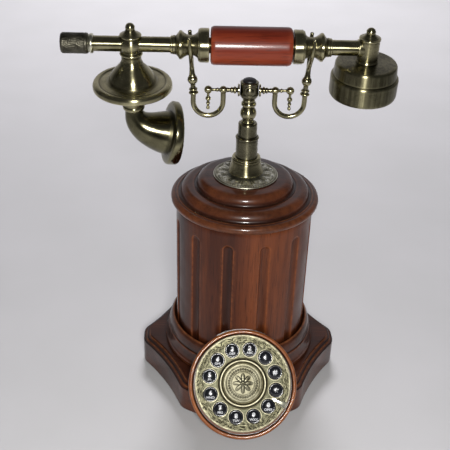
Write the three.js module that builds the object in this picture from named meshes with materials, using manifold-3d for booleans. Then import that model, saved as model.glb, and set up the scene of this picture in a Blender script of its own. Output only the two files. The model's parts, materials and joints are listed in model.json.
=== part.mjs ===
// A French-style cradle phone: a hexagonal plinth, a fluted wooden column, a brass stem with a sprung
// two-armed cradle, a brass and wood handset, and a tilted push-button dial.
// Millimetres, +Z up. The origin is on the column's axis at table level, and the dial faces -Y.
import * as THREE from 'three';
import { mergeVertices } from 'three/addons/utils/BufferGeometryUtils.js';
import Module from 'manifold-3d';

const wasm = await Module();
wasm.setup();

// ---- driving dimensions ----
const GAP = 0.3; // clearance between pieces that touch
// facets round a turned piece
const SIDES = { dial: 32, column: 36, large: 24, medium: 20, small: 16, fine: 12, key: 10, tiny: 8 };

const FOOT = { height: 1.8, radius: 7, ring: 73, angles: [60, 120, 240, 300] };
const PLINTH = {
  tip: 89.2, tipHalf: 9, tipRound: 5, sag: 3, wallTop: 26, stepRise: 2.8, stepIn: 3.2, bore: 50,
};
const PLINTH_TOP = PLINTH.wallTop + 2 * PLINTH.stepRise;
const CAVITY = { radius: 56, top: 22 };
const COVER = { radius: 62, thickness: 2 };
const COLUMN = { radius: 58, bore: 50, top: 174.5 };
const FLUTE = { count: 12, radius: 5.4, depth: 2.4, top: 162 };
const SKIRT = { height: 25, foot: 68.5, head: 65.6, quirk: 61.4 };
const CAP = { rim: 62.5, plug: 6, bore: 4 };
const STEM = { base: 197.6, flange: 27, flangeTop: 200.5, footTop: 215, tubeTop: 232.7, top: 244.8, bore: 7 };
const CRADLE = { arms: 272, ball: 20.5, end: 32.4, prong: 44.2, head: 7.4 };
const PLUNGER = { radius: 2.4, tip: 150.8, shoulder: 235.5 };
const HANDSET = { z: 307.7, roll: 6.5, tube: 5.9, bore: 6.2, bell: -92, receiver: 90.5, end: 144.8 };
const GRIP = { half: 31.2, radius: 14.7, shoulder: 14.3, end: 12.6 };
const BRIM = 31.4; // the bell's outer radius
const HORN = {
  start: -56, bend: 20.9, drop: 26.1, reach: 36, yaw: 11,
  throat: 6.8, flare: 21, ring: 26.4, rimStart: 0.82, wall: 1.1,
};
const EAR = { shell: 24.4, cap: 26.8, top: -11, seam: -22.2, bottom: -39.6 };
const DIAL = { y: -86.5, z: 42.5, lean: 38.3, ring: 46.1, face: 1, plate: 40.9, drum: 38, drumBack: 26 };
const KEY = {
  count: 12, radius: 6, circle: 28.7, first: 11.4,
  names: ['2', '1', 'hash', 'star', '0', '9', '8', '7', '6', '5', '4', '3'], // clockwise from the top
};
const STOP = { angle: 117, from: 27.6, to: 41, innerHalf: 0.6, outerHalf: 3 }; // angle clockwise from the top
const JACK = { width: 15, height: 13, depth: 20, z: 14.5, face: 71.5, x: [-13, 13] };
const SWITCH = { length: 20, width: 8, height: 10.6, floor: 139 };
const SPRING = {
  from: STEM.flangeTop + 1.4, to: PLUNGER.shoulder - 1, radius: 4, wire: 0.55, turns: 5, steps: 8,
};

// ---- finishes ----
const FINISH = {
  wood: { color: 0x6e3a24, roughness: 0.35, metalness: 0 },
  grip: { color: 0x8c3a22, roughness: 0.25, metalness: 0 },
  brass: { color: 0x8c7a3e, roughness: 0.35, metalness: 1 },
  dark: { color: 0x5c5234, roughness: 0.45, metalness: 1 },
  steel: { color: 0xa0a0a4, roughness: 0.35, metalness: 1 },
  black: { color: 0x15171a, roughness: 0.25, metalness: 0 },
  rubber: { color: 0x232323, roughness: 0.9, metalness: 0 },
  board: { color: 0x1d5a38, roughness: 0.6, metalness: 0 },
};

// ---- helpers ----
const radians = THREE.MathUtils.degToRad;
const point = (x, y) => new THREE.Vector2(x, y);

function volume(geometry) {
  const p = geometry.attributes.position;
  const [a, b, c] = [new THREE.Vector3(), new THREE.Vector3(), new THREE.Vector3()];
  const index = geometry.index.array;
  let sum = 0;
  for (let i = 0; i < index.length; i += 3) {
    a.fromBufferAttribute(p, index[i]);
    b.fromBufferAttribute(p, index[i + 1]);
    c.fromBufferAttribute(p, index[i + 2]);
    sum += a.dot(b.cross(c));
  }
  return sum;
}

// Shared corners merged, flat slivers dropped, faces pointing out.
function solid(source) {
  const bare = source.clone();
  for (const name of Object.keys(bare.attributes)) {
    if (name !== 'position') bare.deleteAttribute(name);
  }
  const merged = mergeVertices(bare, 1e-4);
  const from = merged.index.array;
  const kept = [];
  for (let i = 0; i < from.length; i += 3) {
    const [a, b, c] = [from[i], from[i + 1], from[i + 2]];
    if (a !== b && b !== c && c !== a) kept.push(a, b, c);
  }
  merged.setIndex(kept);
  if (volume(merged) < 0) {
    for (let i = 0; i < kept.length; i += 3) [kept[i + 1], kept[i + 2]] = [kept[i + 2], kept[i + 1]];
    merged.setIndex(kept);
  }
  return merged;
}

function toManifold(geometry) {
  const closed = solid(geometry);
  const mesh = new wasm.Mesh({
    numProp: 3,
    vertProperties: Float32Array.from(closed.attributes.position.array),
    triVerts: Uint32Array.from(closed.index.array),
  });
  return new wasm.Manifold(mesh);
}

function fromManifold(manifold) {
  const mesh = manifold.getMesh();
  const geometry = new THREE.BufferGeometry();
  geometry.setAttribute('position', new THREE.BufferAttribute(Float32Array.from(mesh.vertProperties), 3));
  geometry.setIndex(Array.from(mesh.triVerts));
  return geometry;
}

const join = (...pieces) => fromManifold(pieces.map(toManifold).reduce((all, next) => all.add(next)));
const cut = (piece, ...tools) => fromManifold(
  tools.map(toManifold).reduce((left, tool) => left.subtract(tool), toManifold(piece)),
);

// A turned piece about Z from [radius, z] points; a profile that doesn't end on the axis closes on itself.
function turned(profile, sides = SIDES.medium) {
  const points = profile.map(([r, z]) => point(r, z));
  if (profile.at(-1)[0] > 0) points.push(points[0].clone());
  return solid(new THREE.LatheGeometry(points, sides).rotateX(Math.PI / 2));
}

// The same about X, its profile given as [radius, x].
const turnedX = (profile, sides = SIDES.medium) => turned(profile, sides).rotateY(Math.PI / 2);

// The corner radius of a faceted bore that clears a round piece all the way round.
const around = (radius, sides) => (radius + GAP) / Math.cos(Math.PI / sides);

const block = (x, y, z, at = [0, 0, 0]) => solid(new THREE.BoxGeometry(x, y, z).translate(...at));
const rod = (radius, from, to, sides = SIDES.medium) => turned([
  [0, from], [radius, from], [radius, to], [0, to],
], sides);

// A ball's outline on the axis, as [radius, z] points from its bottom neck to its top neck.
function bead(radius, centre, neckBelow, neckAbove, steps = 4) {
  const low = -Math.acos(neckBelow / radius);
  const high = Math.acos(neckAbove / radius);
  const points = [];
  for (let i = 0; i <= steps; i++) {
    const turn = low + ((high - low) * i) / steps;
    points.push([radius * Math.cos(turn), centre + radius * Math.sin(turn)]);
  }
  return points;
}

function swept(points, radius, steps, sides = 6) {
  const path = new THREE.CatmullRomCurve3(points.map((p) => new THREE.Vector3(...p)));
  const settings = { steps, extrudePath: path, bevelEnabled: false };
  const outline = new THREE.Shape(Array.from({ length: sides }, (_, i) => {
    const turn = (Math.PI * 2 * i) / sides;
    return point(radius * Math.cos(turn), radius * Math.sin(turn));
  }));
  return solid(new THREE.ExtrudeGeometry(outline, settings));
}

function extruded(shape, from, to, curveSegments = 3) {
  const geometry = new THREE.ExtrudeGeometry(shape, { depth: to - from, bevelEnabled: false, curveSegments });
  return solid(geometry.translate(0, 0, from));
}

function add(parent, name, geometry, finish, at = [0, 0, 0]) {
  const mesh = new THREE.Mesh(solid(geometry), new THREE.MeshStandardMaterial(FINISH[finish]));
  mesh.name = name;
  mesh.position.set(...at);
  parent.add(mesh);
  return mesh;
}

const phone = new THREE.Group();
const dial = new THREE.Group(); // its +Z is the dial's outward normal, its +Y the way up its face
dial.position.set(0, DIAL.y, DIAL.z);
dial.rotation.x = radians(90 - DIAL.lean);
const face = new THREE.Group(); // the brass face and keys sit a little above the middle of the wooden ring
face.position.set(0, DIAL.face, 0);
dial.add(face);
const handset = new THREE.Group();
handset.position.set(0, 0, HANDSET.z);
handset.rotation.x = radians(HANDSET.roll);
phone.add(dial, handset);
phone.updateMatrixWorld(true);

// ---- plinth, column and cap ----
// A hexagon with hollowed sides and blunt, rounded tips, all of it moved in by inset.
function lobedShape(inset) {
  const shape = new THREE.Shape();
  const tip = PLINTH.tip - inset;
  const along = (angle, radial, sideways) => point(
    radial * Math.cos(angle) - sideways * Math.sin(angle),
    radial * Math.sin(angle) + sideways * Math.cos(angle),
  );
  const half = PLINTH.tipHalf - inset * 0.3;
  for (let lobe = 0; lobe < 6; lobe++) {
    const angle = radians(60 * lobe);
    const next = angle + radians(60);
    const corner = along(angle, tip, half);
    const nextCorner = along(next, tip, -half);
    const sag = corner.clone().add(nextCorner).multiplyScalar(0.5);
    sag.setLength(sag.length() - 2 * PLINTH.sag);
    const leave = corner.clone().lerp(sag, PLINTH.tipRound / corner.distanceTo(sag));
    const arrive = nextCorner.clone().lerp(sag, PLINTH.tipRound / nextCorner.distanceTo(sag));
    const flatEnd = along(angle, tip, half - PLINTH.tipRound);
    const nextFlat = along(next, tip, PLINTH.tipRound - half);
    if (lobe === 0) shape.moveTo(flatEnd.x, flatEnd.y);
    shape.quadraticCurveTo(corner.x, corner.y, leave.x, leave.y);
    shape.quadraticCurveTo(sag.x, sag.y, arrive.x, arrive.y);
    shape.quadraticCurveTo(nextCorner.x, nextCorner.y, nextFlat.x, nextFlat.y);
    const restart = along(next, tip, half - PLINTH.tipRound);
    shape.lineTo(restart.x, restart.y);
  }
  return shape;
}

// The space that the dial's housing takes, in the phone's own frame.
const drumPocket = turned([
  [0, -DIAL.drumBack - GAP], [DIAL.drum + GAP, -DIAL.drumBack - GAP], [DIAL.drum + GAP, -9.5 - GAP],
  [DIAL.ring + GAP, -9.5 - GAP], [DIAL.ring + GAP, 30], [0, 30],
], SIDES.dial).applyMatrix4(dial.matrixWorld);

function plinth() {
  const step = (count, inset) => {
    const top = PLINTH.wallTop + count * PLINTH.stepRise;
    return extruded(lobedShape(inset), FOOT.height + count, top);
  };
  const body = join(step(0, 0), step(1, PLINTH.stepIn), step(2, 2 * PLINTH.stepIn));
  const windows = JACK.x.map((x) => block(JACK.width + 2 * GAP, 60, JACK.height + 2 * GAP, [x, 70, JACK.z]));
  return cut(
    body,
    rod(PLINTH.bore, -1, PLINTH_TOP + 1, SIDES.large),
    rod(CAVITY.radius, -1, CAVITY.top, SIDES.large),
    rod(COVER.radius + GAP, -1, FOOT.height + COVER.thickness + GAP, SIDES.large),
    drumPocket,
    ...windows,
  );
}

function column() {
  const tube = turned([
    [COLUMN.radius, PLINTH_TOP + GAP], [COLUMN.radius, COLUMN.top],
    [COLUMN.bore, COLUMN.top], [COLUMN.bore, PLINTH_TOP + GAP],
  ], SIDES.column);
  const centre = COLUMN.radius + FLUTE.radius - FLUTE.depth;
  const flutes = [];
  for (let i = 0; i < FLUTE.count; i++) {
    const angle = radians(15 + (360 * i) / FLUTE.count);
    const groove = turned([
      [0, 0], [FLUTE.radius, 0], [FLUTE.radius, FLUTE.top - FLUTE.radius],
      [FLUTE.radius * 0.75, FLUTE.top - FLUTE.radius * 0.4], [0, FLUTE.top],
    ], SIDES.tiny);
    flutes.push(groove.translate(centre * Math.cos(angle), centre * Math.sin(angle), 0));
  }
  return cut(tube, drumPocket, ...flutes);
}

function skirt() {
  const base = PLINTH_TOP + GAP;
  const top = base + SKIRT.height;
  const bore = around(COLUMN.radius, SIDES.large);
  return cut(turned([
    [bore, base], [SKIRT.foot, base], [SKIRT.foot, base + 3.4], [SKIRT.foot - 1.2, base + 5.4],
    [SKIRT.head, base + 13.6], [SKIRT.head - 1.1, base + 14.5], [SKIRT.head - 2.4, top - 2.8],
    [SKIRT.quirk, top], [SKIRT.quirk - 1, top], [bore, top - 3],
  ], SIDES.large), drumPocket);
}

function cap() {
  const rim = CAP.rim;
  const under = COLUMN.top + GAP;
  return turned([
    [CAP.bore, under - CAP.plug], [COLUMN.bore - GAP, under - CAP.plug], [COLUMN.bore - GAP, under],
    [rim - 1.4, under], [rim - 0.2, 177], [rim, 179.4], [rim - 1.2, 181.8], [rim - 4, 182.6],
    [55.6, 181.8], [54.2, 183], [53.8, 185], [52, 187.4], [48.6, 189], [44.6, 189.4],
    [41.8, 188.9], [40.8, 190.2], [39, 190.8], [38.6, 193.4],
    [36, 196.2], [31, STEM.base - GAP], [CAP.bore, STEM.base - GAP],
  ], SIDES.large);
}

add(phone, 'plinth', plinth(), 'wood');
add(phone, 'skirt_ring', skirt(), 'wood');
add(phone, 'column', column(), 'wood');
add(phone, 'column_cap', cap(), 'wood');
const FLOOR = FOOT.height + COVER.thickness;
add(phone, 'bottom_cover', rod(COVER.radius, FOOT.height, FLOOR, SIDES.large), 'black');
FOOT.angles.forEach((angle, i) => {
  const [x, y] = [FOOT.ring * Math.cos(radians(angle)), FOOT.ring * Math.sin(radians(angle))];
  add(phone, `foot_${i + 1}`, rod(FOOT.radius, 0, FOOT.height - GAP, SIDES.fine), 'rubber', [x, y, 0]);
});

// ---- stem ----
add(phone, 'stem_flange', turned([
  [STEM.bore - 2, STEM.base], [STEM.flange, STEM.base], [STEM.flange, STEM.base + 1.2],
  [STEM.flange - 1.4, STEM.flangeTop - 0.6], [STEM.flange - 3, STEM.flangeTop - 0.9],
  [16, STEM.flangeTop], [STEM.bore - 2, STEM.flangeTop],
], SIDES.large), 'dark');
add(phone, 'stem_foot', turned([
  [STEM.bore, STEM.flangeTop + GAP], [14.3, STEM.flangeTop + GAP], [14.2, 203], [13, 206.6],
  [12.1, 210.8], [11.8, 211.6], [12.1, 212.4], [11.4, 213.4], [11.7, 214.2],
  [11, STEM.footTop], [STEM.bore, STEM.footTop],
], SIDES.small), 'brass');
add(phone, 'stem_tube', turned([
  [STEM.bore, STEM.footTop + GAP], [9.2, STEM.footTop + GAP], [9.1, STEM.tubeTop - 1.4],
  [9.5, STEM.tubeTop - 0.8], [9, STEM.tubeTop], [7.8, STEM.tubeTop + 0.4], [7.7, STEM.top - 1], [7, STEM.top],
  [PLUNGER.radius + 0.4, STEM.top], [PLUNGER.radius + 0.4, STEM.top - 2.6], [STEM.bore - 1, STEM.top - 2.6],
  [STEM.bore - 1, STEM.tubeTop - 1], [STEM.bore, STEM.tubeTop - 2],
], SIDES.small), 'dark');

// ---- inner works of the base ----
add(phone, 'main_board', block(64, 46, 1.6, [0, 8, FLOOR + 4.8]), 'board');
const ringer = turned([[0, 0], [14, 0], [14, 8], [12, 9.5], [3, 9.5], [3, 8.5], [0, 8.5]], SIDES.fine);
add(phone, 'ringer', ringer, 'black', [-12, 6, FLOOR + 5.9]);
for (const [name, x] of [['line_jack', JACK.x[1]], ['handset_jack', JACK.x[0]]]) {
  const shell = block(JACK.width, JACK.depth, JACK.height, [0, -JACK.depth / 2, 0]);
  const socket = block(10.6, 14, 7.4, [0, -6.5, 0.6]);
  const latch = block(5.4, 14, 4, [0, -6.5, -4]);
  add(phone, name, cut(shell, join(socket, latch)), 'black', [x, JACK.face, JACK.z]);
}
const strapTop = COLUMN.top + GAP - CAP.plug - GAP;
const strapOutline = [
  [-34, strapTop], [-34, strapTop - 1.6], [-21.6, strapTop - 1.6], [-21.6, SWITCH.floor - 1.6],
  [21.6, SWITCH.floor - 1.6], [21.6, strapTop - 1.6], [34, strapTop - 1.6], [34, strapTop], [20, strapTop],
  [20, SWITCH.floor], [-20, SWITCH.floor], [-20, strapTop],
];
const strapShape = new THREE.Shape(strapOutline.map(([x, z]) => point(x, z)));
const strap = extruded(strapShape, -7, 7).rotateX(Math.PI / 2);
add(phone, 'switch_bracket', strap, 'steel');
const switchBody = SWITCH.height - 1.2;
add(phone, 'hook_switch', join(
  block(SWITCH.length, SWITCH.width, switchBody, [0, 0, SWITCH.floor + GAP + switchBody / 2]),
  block(3, 3, 2, [0, 0, SWITCH.floor + SWITCH.height - 0.7]),
), 'black');

// ---- dial ----
const housing = turned([
  [39.4, -1.7], [42.2, -1.7], [42.5, -0.7], [43.7, 0], [DIAL.ring - 0.9, -0.5], [DIAL.ring, -2.2],
  [DIAL.ring, -8.2], [DIAL.ring - 1, -9.5], [DIAL.drum, -9.5], [DIAL.drum, -DIAL.drumBack],
  [36, -DIAL.drumBack], [36, -12], [39.4, -12],
], SIDES.dial);
const belowBase = block(120, 120, 40, [0, DIAL.y, FOOT.height + 1.5 - 20]);
add(dial, 'dial_housing', cut(housing, belowBase.applyMatrix4(dial.matrixWorld.clone().invert())), 'wood');

const onDial = (angle, radius) => [radius * Math.sin(radians(angle)), radius * Math.cos(radians(angle))];
const keyAngle = (i) => KEY.first + (360 * i) / KEY.count;
const keyHoles = Array.from({ length: KEY.count }, (_, i) => {
  const [x, y] = onDial(keyAngle(i), KEY.circle);
  return rod(KEY.radius + 0.35, -5, 5, SIDES.key).translate(x, y, 0);
});
add(face, 'dial_plate', cut(turned([
  [0, -1.3], [DIAL.plate, -1.3], [DIAL.plate, 0.3], [DIAL.plate - 0.8, 0.9], [20.2, 0.9], [19.6, 2.2],
  [18.7, 2.6], [17.8, 2], [17.5, 0.3], [0, 0.3],
], SIDES.dial), ...keyHoles), 'brass');
const medallion = turned([[0, 0.6], [16.4, 0.6], [16.4, 1.3], [15.4, 1.9], [8, 2.2], [0, 2.3]]);
add(face, 'dial_medallion', medallion, 'brass');
const stopShape = new THREE.Shape([
  point(STOP.from, -STOP.innerHalf), point(STOP.to, -STOP.outerHalf),
  point(STOP.to, STOP.outerHalf), point(STOP.from, STOP.innerHalf),
]);
add(face, 'finger_stop', extruded(stopShape, 1.2, 2.6).rotateZ(radians(90 - STOP.angle)), 'brass');
add(face, 'key_mat', rod(34, -9.4, -8.1), 'rubber');
add(face, 'dial_board', rod(34, -11.4, -9.7), 'board');
KEY.names.forEach((name, i) => {
  const cap = turned([
    [0, -6.3], [3.4, -6.3], [6.9, -3.6], [6.9, -1.9],
    [KEY.radius, -1.9], [KEY.radius, 2.2], [4.6, 3.3], [0, 3.7],
  ], SIDES.key);
  add(face, `key_${name}`, cap, 'black', [...onDial(keyAngle(i), KEY.circle), 0]);
});

// ---- cradle ----
add(phone, 'hook_plunger', turned([
  [0, PLUNGER.tip], [PLUNGER.radius, PLUNGER.tip + 1], [PLUNGER.radius, PLUNGER.shoulder],
  [5.2, PLUNGER.shoulder], [5.2, PLUNGER.shoulder + 1.2], [PLUNGER.radius, PLUNGER.shoulder + 1.2],
  [PLUNGER.radius, 255], [0, 255],
], SIDES.fine), 'steel');

const springPoints = Array.from({ length: SPRING.turns * SPRING.steps + 1 }, (_, i) => {
  const turn = (2 * Math.PI * i) / SPRING.steps;
  const rise = SPRING.from + ((SPRING.to - SPRING.from) * i) / (SPRING.turns * SPRING.steps);
  return [SPRING.radius * Math.cos(turn), SPRING.radius * Math.sin(turn), rise];
});
add(phone, 'return_spring', swept(springPoints, SPRING.wire, SPRING.turns * SPRING.steps, 4), 'steel');

add(phone, 'cradle_baluster', turned([
  [PLUNGER.radius + GAP, 245.3], [5.3, 245.3], [5, 246.2], ...bead(6.6, 252.8, 4.2, 4.6), [5.6, 259.6],
  [6, 261.4], [5, 263], [5, 264.6], [0, 264.6], [0, 255.4], [PLUNGER.radius + GAP, 255.4],
], SIDES.small), 'brass');

const headMiddle = CRADLE.arms + 1.6;
const boss = turned([[0, 0], [4.2, 0], [4.2, 8], [3.6, 8.8], [2, 9.5], [0, 9.7]], SIDES.fine);
boss.rotateX(Math.PI / 2).translate(0, 0, headMiddle);
add(phone, 'cradle_head', join(
  turned([
    [0, 265], [5, 265], [6.2, 266], [CRADLE.head, 268.4], [CRADLE.head, 278.6], [CRADLE.head - 0.6, 279.4],
    [0, 279.4],
  ], SIDES.small),
  boss,
  boss.clone().rotateZ(Math.PI),
), 'dark');
const dome = turned([
  [0, 279.7], [5.4, 279.7], [5.3, 280.4], [4.2, 281.5], [2.2, 282], [0, 282.1],
], SIDES.small);
add(phone, 'head_cap', dome, 'black');

function arm(side) {
  const spindle = turnedX([
    [0, 7.7], [4.9, 7.7], [4.9, 9], [2, 9.4], [1.9, 10.4], [2.7, 11.2], [2.7, 12], [1.8, 12.6], [2.4, 13.6],
    [1.7, 14.6], [1.7, 16.2], ...bead(3.1, CRADLE.ball, 1.6, 1.4), [1.2, 24.4], [1.7, 25.4], [1.1, 26.4],
    ...bead(3.2, CRADLE.end, 1.2, 0),
  ], SIDES.tiny);
  const drop = turned([
    [0, 0], [1.2, 0], [1.1, -5.4], [2.2, -7.4], [1.1, -9.8], [1.6, -11], [0.9, -12.6],
    [1.5, -14.8], [0, -16.6],
  ], SIDES.tiny);
  const whole = join(spindle, drop.translate(CRADLE.end, 0, 0));
  return (side < 0 ? whole.rotateZ(Math.PI) : whole).translate(0, 0, CRADLE.arms);
}

function fork(side) {
  const bend = (CRADLE.prong - CRADLE.ball) / 2;
  const arc = Array.from({ length: 9 }, (_, i) => {
    const turn = Math.PI * (1 + i / 8);
    return [CRADLE.ball + bend + bend * Math.cos(turn), 0, bend * Math.sin(turn) - 10];
  });
  const uTube = swept([
    [CRADLE.ball, 0, -3.7], [CRADLE.ball, 0, -6.6], ...arc, [CRADLE.prong, 0, -6.6], [CRADLE.prong, 0, -3],
  ], 2, 16);
  const post = turned([
    [0, -4], [2.1, -4], [3.9, -3], [3.9, -1.8], [2.4, -1.4], [2.4, -0.4], [3.4, 0], [3.4, 1], [1.9, 1.6],
    ...bead(4.1, 8.4, 2, 1.9), [1.7, 19.6], [0, 20.4],
  ], SIDES.tiny);
  const prong = (way) => swept([
    [0, 0, 17.6], [0, way * 1.2, 20.6], [0, way * 3.6, 24], [0, way * 6.9, 28.6], [0, way * 9.1, 33],
    [0, way * 9.5, 38], [0, way * 9.5, 44.6],
  ], 1.6, 8);
  const upright = join(post, prong(1), prong(-1)).rotateY(radians(4)).translate(CRADLE.prong, 0, 0);
  const whole = join(uTube, upright);
  return (side < 0 ? whole.rotateZ(Math.PI) : whole).translate(0, 0, CRADLE.arms);
}

for (const [side, word] of [[-1, 'left'], [1, 'right']]) {
  add(phone, `arm_${word}`, arm(side), 'brass');
  add(phone, `fork_${word}`, fork(side), 'brass');
}

// ---- handset ----
const knobSocket = HANDSET.end - 16;
add(handset, 'handset_tube', turnedX([
  [4.6, -knobSocket], [HANDSET.tube, -knobSocket],
  [HANDSET.tube, HANDSET.receiver - 3], [4.6, HANDSET.receiver - 3],
], SIDES.small), 'brass');
add(handset, 'end_knob', turnedX([
  [3.4, -HANDSET.end], [7, -HANDSET.end], [7.8, 0.8 - HANDSET.end], [8, -125], [7.2, -123.6], [6.8, -123],
  [7.3, -122.4], [7.3, -120.8], [6.6, -120.2], [HANDSET.bore, -120.2], [HANDSET.bore, -knobSocket - GAP],
  [3.4, -knobSocket - GAP],
], SIDES.small), 'dark');

const finial = (shoulder, centre) => [
  [7.4, shoulder], [5.2, shoulder + 1.5], ...bead(3.7, centre, 3.3, 0),
];
const crossBore = turnedX([[0, -20], [HANDSET.bore, -20], [HANDSET.bore, 20], [0, 20]]);
const teeLeft = turned([
  [0, -6.1], [7.6, -6.1], [8.6, -3.4], [9, 0], [8.5, 3.2], [7.9, 6], [8.5, 6.6], [8.5, 7.6],
  ...finial(8, 13.2),
], SIDES.small);
add(handset, 'tee_left', cut(teeLeft, crossBore), 'brass', [HANDSET.bell, 0, 0]);
const barrel = turned([
  [0, EAR.top + GAP], [8.1, EAR.top + GAP], [8, 7], [8.4, 7.4], [8.4, 8.6], ...finial(8.9, 13.1),
], SIDES.small);
const collar = turnedX([[0, -8.8], [7, -8.8], [7, 0], [0, 0]], SIDES.small);
const blindBore = crossBore.clone().translate(-17, 0, 0);
add(handset, 'tee_right', cut(join(barrel, collar), blindBore), 'brass', [HANDSET.receiver, 0, 0]);

add(handset, 'transmitter_bell', turned([
  [8.6, -6.5], [8.9, -8], [7.9, -9.4], [8.2, -12], [9.8, -15.4], [13.4, -20], [16.6, -24.2],
  [18.9, -28], [20.2, -30.8], [26.4, -31.8], [27.2, -31.1], [28.8, -31.1], [BRIM, -33],
  [BRIM, -36.6], [29.6, -36.6], [29.6, -33.4], [17.2, -32.2],
  [14.6, -26], [11.2, -21.2], [7.7, -16.2], [HANDSET.bore, -12], [HANDSET.bore, -6.5],
]), 'brass', [HANDSET.bell, 0, 0]);
add(handset, 'transmitter_base', turned([
  [4.6, -34.8], [29.2, -34.8], [29.2, -36.4], [12, -37.6], [11, -39], [8.6, -50], [8.2, -52.4],
  [8.8, -53.2], [8.6, -55], [7.4, HORN.start], [4.6, HORN.start],
]), 'brass', [HANDSET.bell, 0, 0]);
add(handset, 'transmitter_capsule', rod(12.5, -34.4, -28.4, SIDES.small), 'black', [HANDSET.bell, 0, 0]);

// The horn is turned straight and then bent along its path, from the throat to the mouth.
function horn() {
  const mouth = point(HORN.reach, -HORN.drop);
  const path = new THREE.QuadraticBezierCurve(point(0, 0), point(0, -HORN.bend), mouth);
  const flare = (t) => HORN.throat + (HORN.flare - HORN.throat) * Math.pow(t, 1.16);
  const steps = [0, 0.14, 0.28, 0.42, 0.56, 0.7, HORN.rimStart];
  const outer = steps.map((t) => [flare(t), t]);
  const inner = [...steps].reverse().map((t) => [flare(t) - HORN.wall, t]);
  const rim = [
    [HORN.ring - 1.4, HORN.rimStart], [HORN.ring, HORN.rimStart + 0.03], [HORN.ring, 0.97],
    [HORN.ring - 1, 1], [HORN.ring - 3.4, 1], [flare(0.92), 0.93],
  ];
  const geometry = turned([...outer, ...rim, ...inner]);
  const p = geometry.attributes.position;
  for (let i = 0; i < p.count; i++) {
    const t = THREE.MathUtils.clamp(p.getZ(i), 0, 1);
    const [centre, tangent] = [path.getPoint(t), path.getTangent(t)];
    p.setXYZ(i, centre.x - tangent.y * p.getX(i), p.getY(i), centre.y + tangent.x * p.getX(i));
  }
  return solid(geometry).rotateZ(radians(HORN.yaw));
}
add(handset, 'horn', horn(), 'brass', [HANDSET.bell, 0, HORN.start - GAP]);

add(handset, 'receiver_shell', turned([
  [0, EAR.top - 1.8], [0, EAR.top], [20, EAR.top - 0.2], [EAR.shell - 0.8, EAR.top - 0.5],
  [EAR.shell, EAR.top - 1.4], [EAR.shell + 0.6, EAR.seam + GAP], [EAR.shell - 1.2, EAR.seam + GAP],
  [EAR.shell - 1.2, EAR.top - 1.8],
], SIDES.large), 'brass', [HANDSET.receiver, 0, 0]);
add(handset, 'receiver_cap', turned([
  [EAR.shell - 1.2, EAR.seam], [EAR.cap - 1, EAR.seam], [EAR.cap - 0.3, EAR.seam - 1], [EAR.cap, -29],
  [EAR.cap, EAR.bottom + 2.8], [EAR.cap - 0.9, EAR.bottom + 0.8], [EAR.cap - 2.6, EAR.bottom],
  [22, EAR.bottom], [19, EAR.bottom + 1.4], [0, EAR.bottom + 1.8], [0, EAR.bottom + 3.2],
  [EAR.shell - 1.2, EAR.bottom + 3.2],
], SIDES.large), 'brass', [HANDSET.receiver, 0, 0]);
const earCapsule = rod(21, EAR.bottom + 3.6, EAR.top - 4);
add(handset, 'receiver_capsule', earCapsule, 'black', [HANDSET.receiver, 0, 0]);

const ferruleProfile = [
  [HANDSET.bore, 32.3], [13.1, 32.3], [13.1, 40.4], [12.2, 41], [9.4, 41.4], [7.9, 43.4],
  [7.4, 46.6], [7.9, 49.4], [9.2, 51.4], [11, 53.4], [11, 54.8], [9, 56.2], [7, 57.8],
  [7.3, 59], [6.7, 60], [7.1, 61], [6.6, 61.8], [HANDSET.bore, 61.8],
];
add(handset, 'ferrule_right', turnedX(ferruleProfile, SIDES.small), 'brass');
add(handset, 'ferrule_left', turnedX(ferruleProfile, SIDES.small).rotateZ(Math.PI), 'brass');
add(handset, 'grip', turnedX([
  [HANDSET.bore, -GRIP.half], [GRIP.end, -GRIP.half],
  [GRIP.shoulder, 1.2 - GRIP.half], [GRIP.radius, 2.8 - GRIP.half],
  [GRIP.radius, GRIP.half - 2.8], [GRIP.shoulder, GRIP.half - 1.2],
  [GRIP.end, GRIP.half], [HANDSET.bore, GRIP.half],
]), 'grip');

export default phone;
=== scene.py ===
"""A French-style cradle phone: turned brass, fluted mahogany and a push-button dial on the CAD frame.

Lengths in the piece code are millimetres in each piece's own turning frame; the mesh helpers turn them
into metres.
"""

import json
import math

import bmesh
import bpy
import numpy as np
from mathutils import Matrix, Vector


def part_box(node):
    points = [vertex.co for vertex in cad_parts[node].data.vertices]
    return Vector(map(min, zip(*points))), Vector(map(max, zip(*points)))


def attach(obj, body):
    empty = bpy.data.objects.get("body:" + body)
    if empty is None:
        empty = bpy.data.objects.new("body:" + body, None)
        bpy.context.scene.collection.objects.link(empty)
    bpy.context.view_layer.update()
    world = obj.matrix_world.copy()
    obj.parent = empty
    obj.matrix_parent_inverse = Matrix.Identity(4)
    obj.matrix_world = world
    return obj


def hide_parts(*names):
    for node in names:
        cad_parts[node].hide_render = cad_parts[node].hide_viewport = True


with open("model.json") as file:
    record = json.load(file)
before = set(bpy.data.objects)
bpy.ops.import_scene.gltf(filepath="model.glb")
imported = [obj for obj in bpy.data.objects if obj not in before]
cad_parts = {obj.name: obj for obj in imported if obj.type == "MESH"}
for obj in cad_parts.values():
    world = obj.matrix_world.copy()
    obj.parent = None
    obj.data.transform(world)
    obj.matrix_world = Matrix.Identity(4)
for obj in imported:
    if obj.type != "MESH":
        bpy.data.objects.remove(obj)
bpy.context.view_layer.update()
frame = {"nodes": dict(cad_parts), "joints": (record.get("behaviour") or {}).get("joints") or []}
scene = bpy.context.scene
MM = 0.001


def add(name, data):
    """A new object in the scene."""
    made = bpy.data.objects.new(name, data)
    scene.collection.objects.link(made)
    return made


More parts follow.
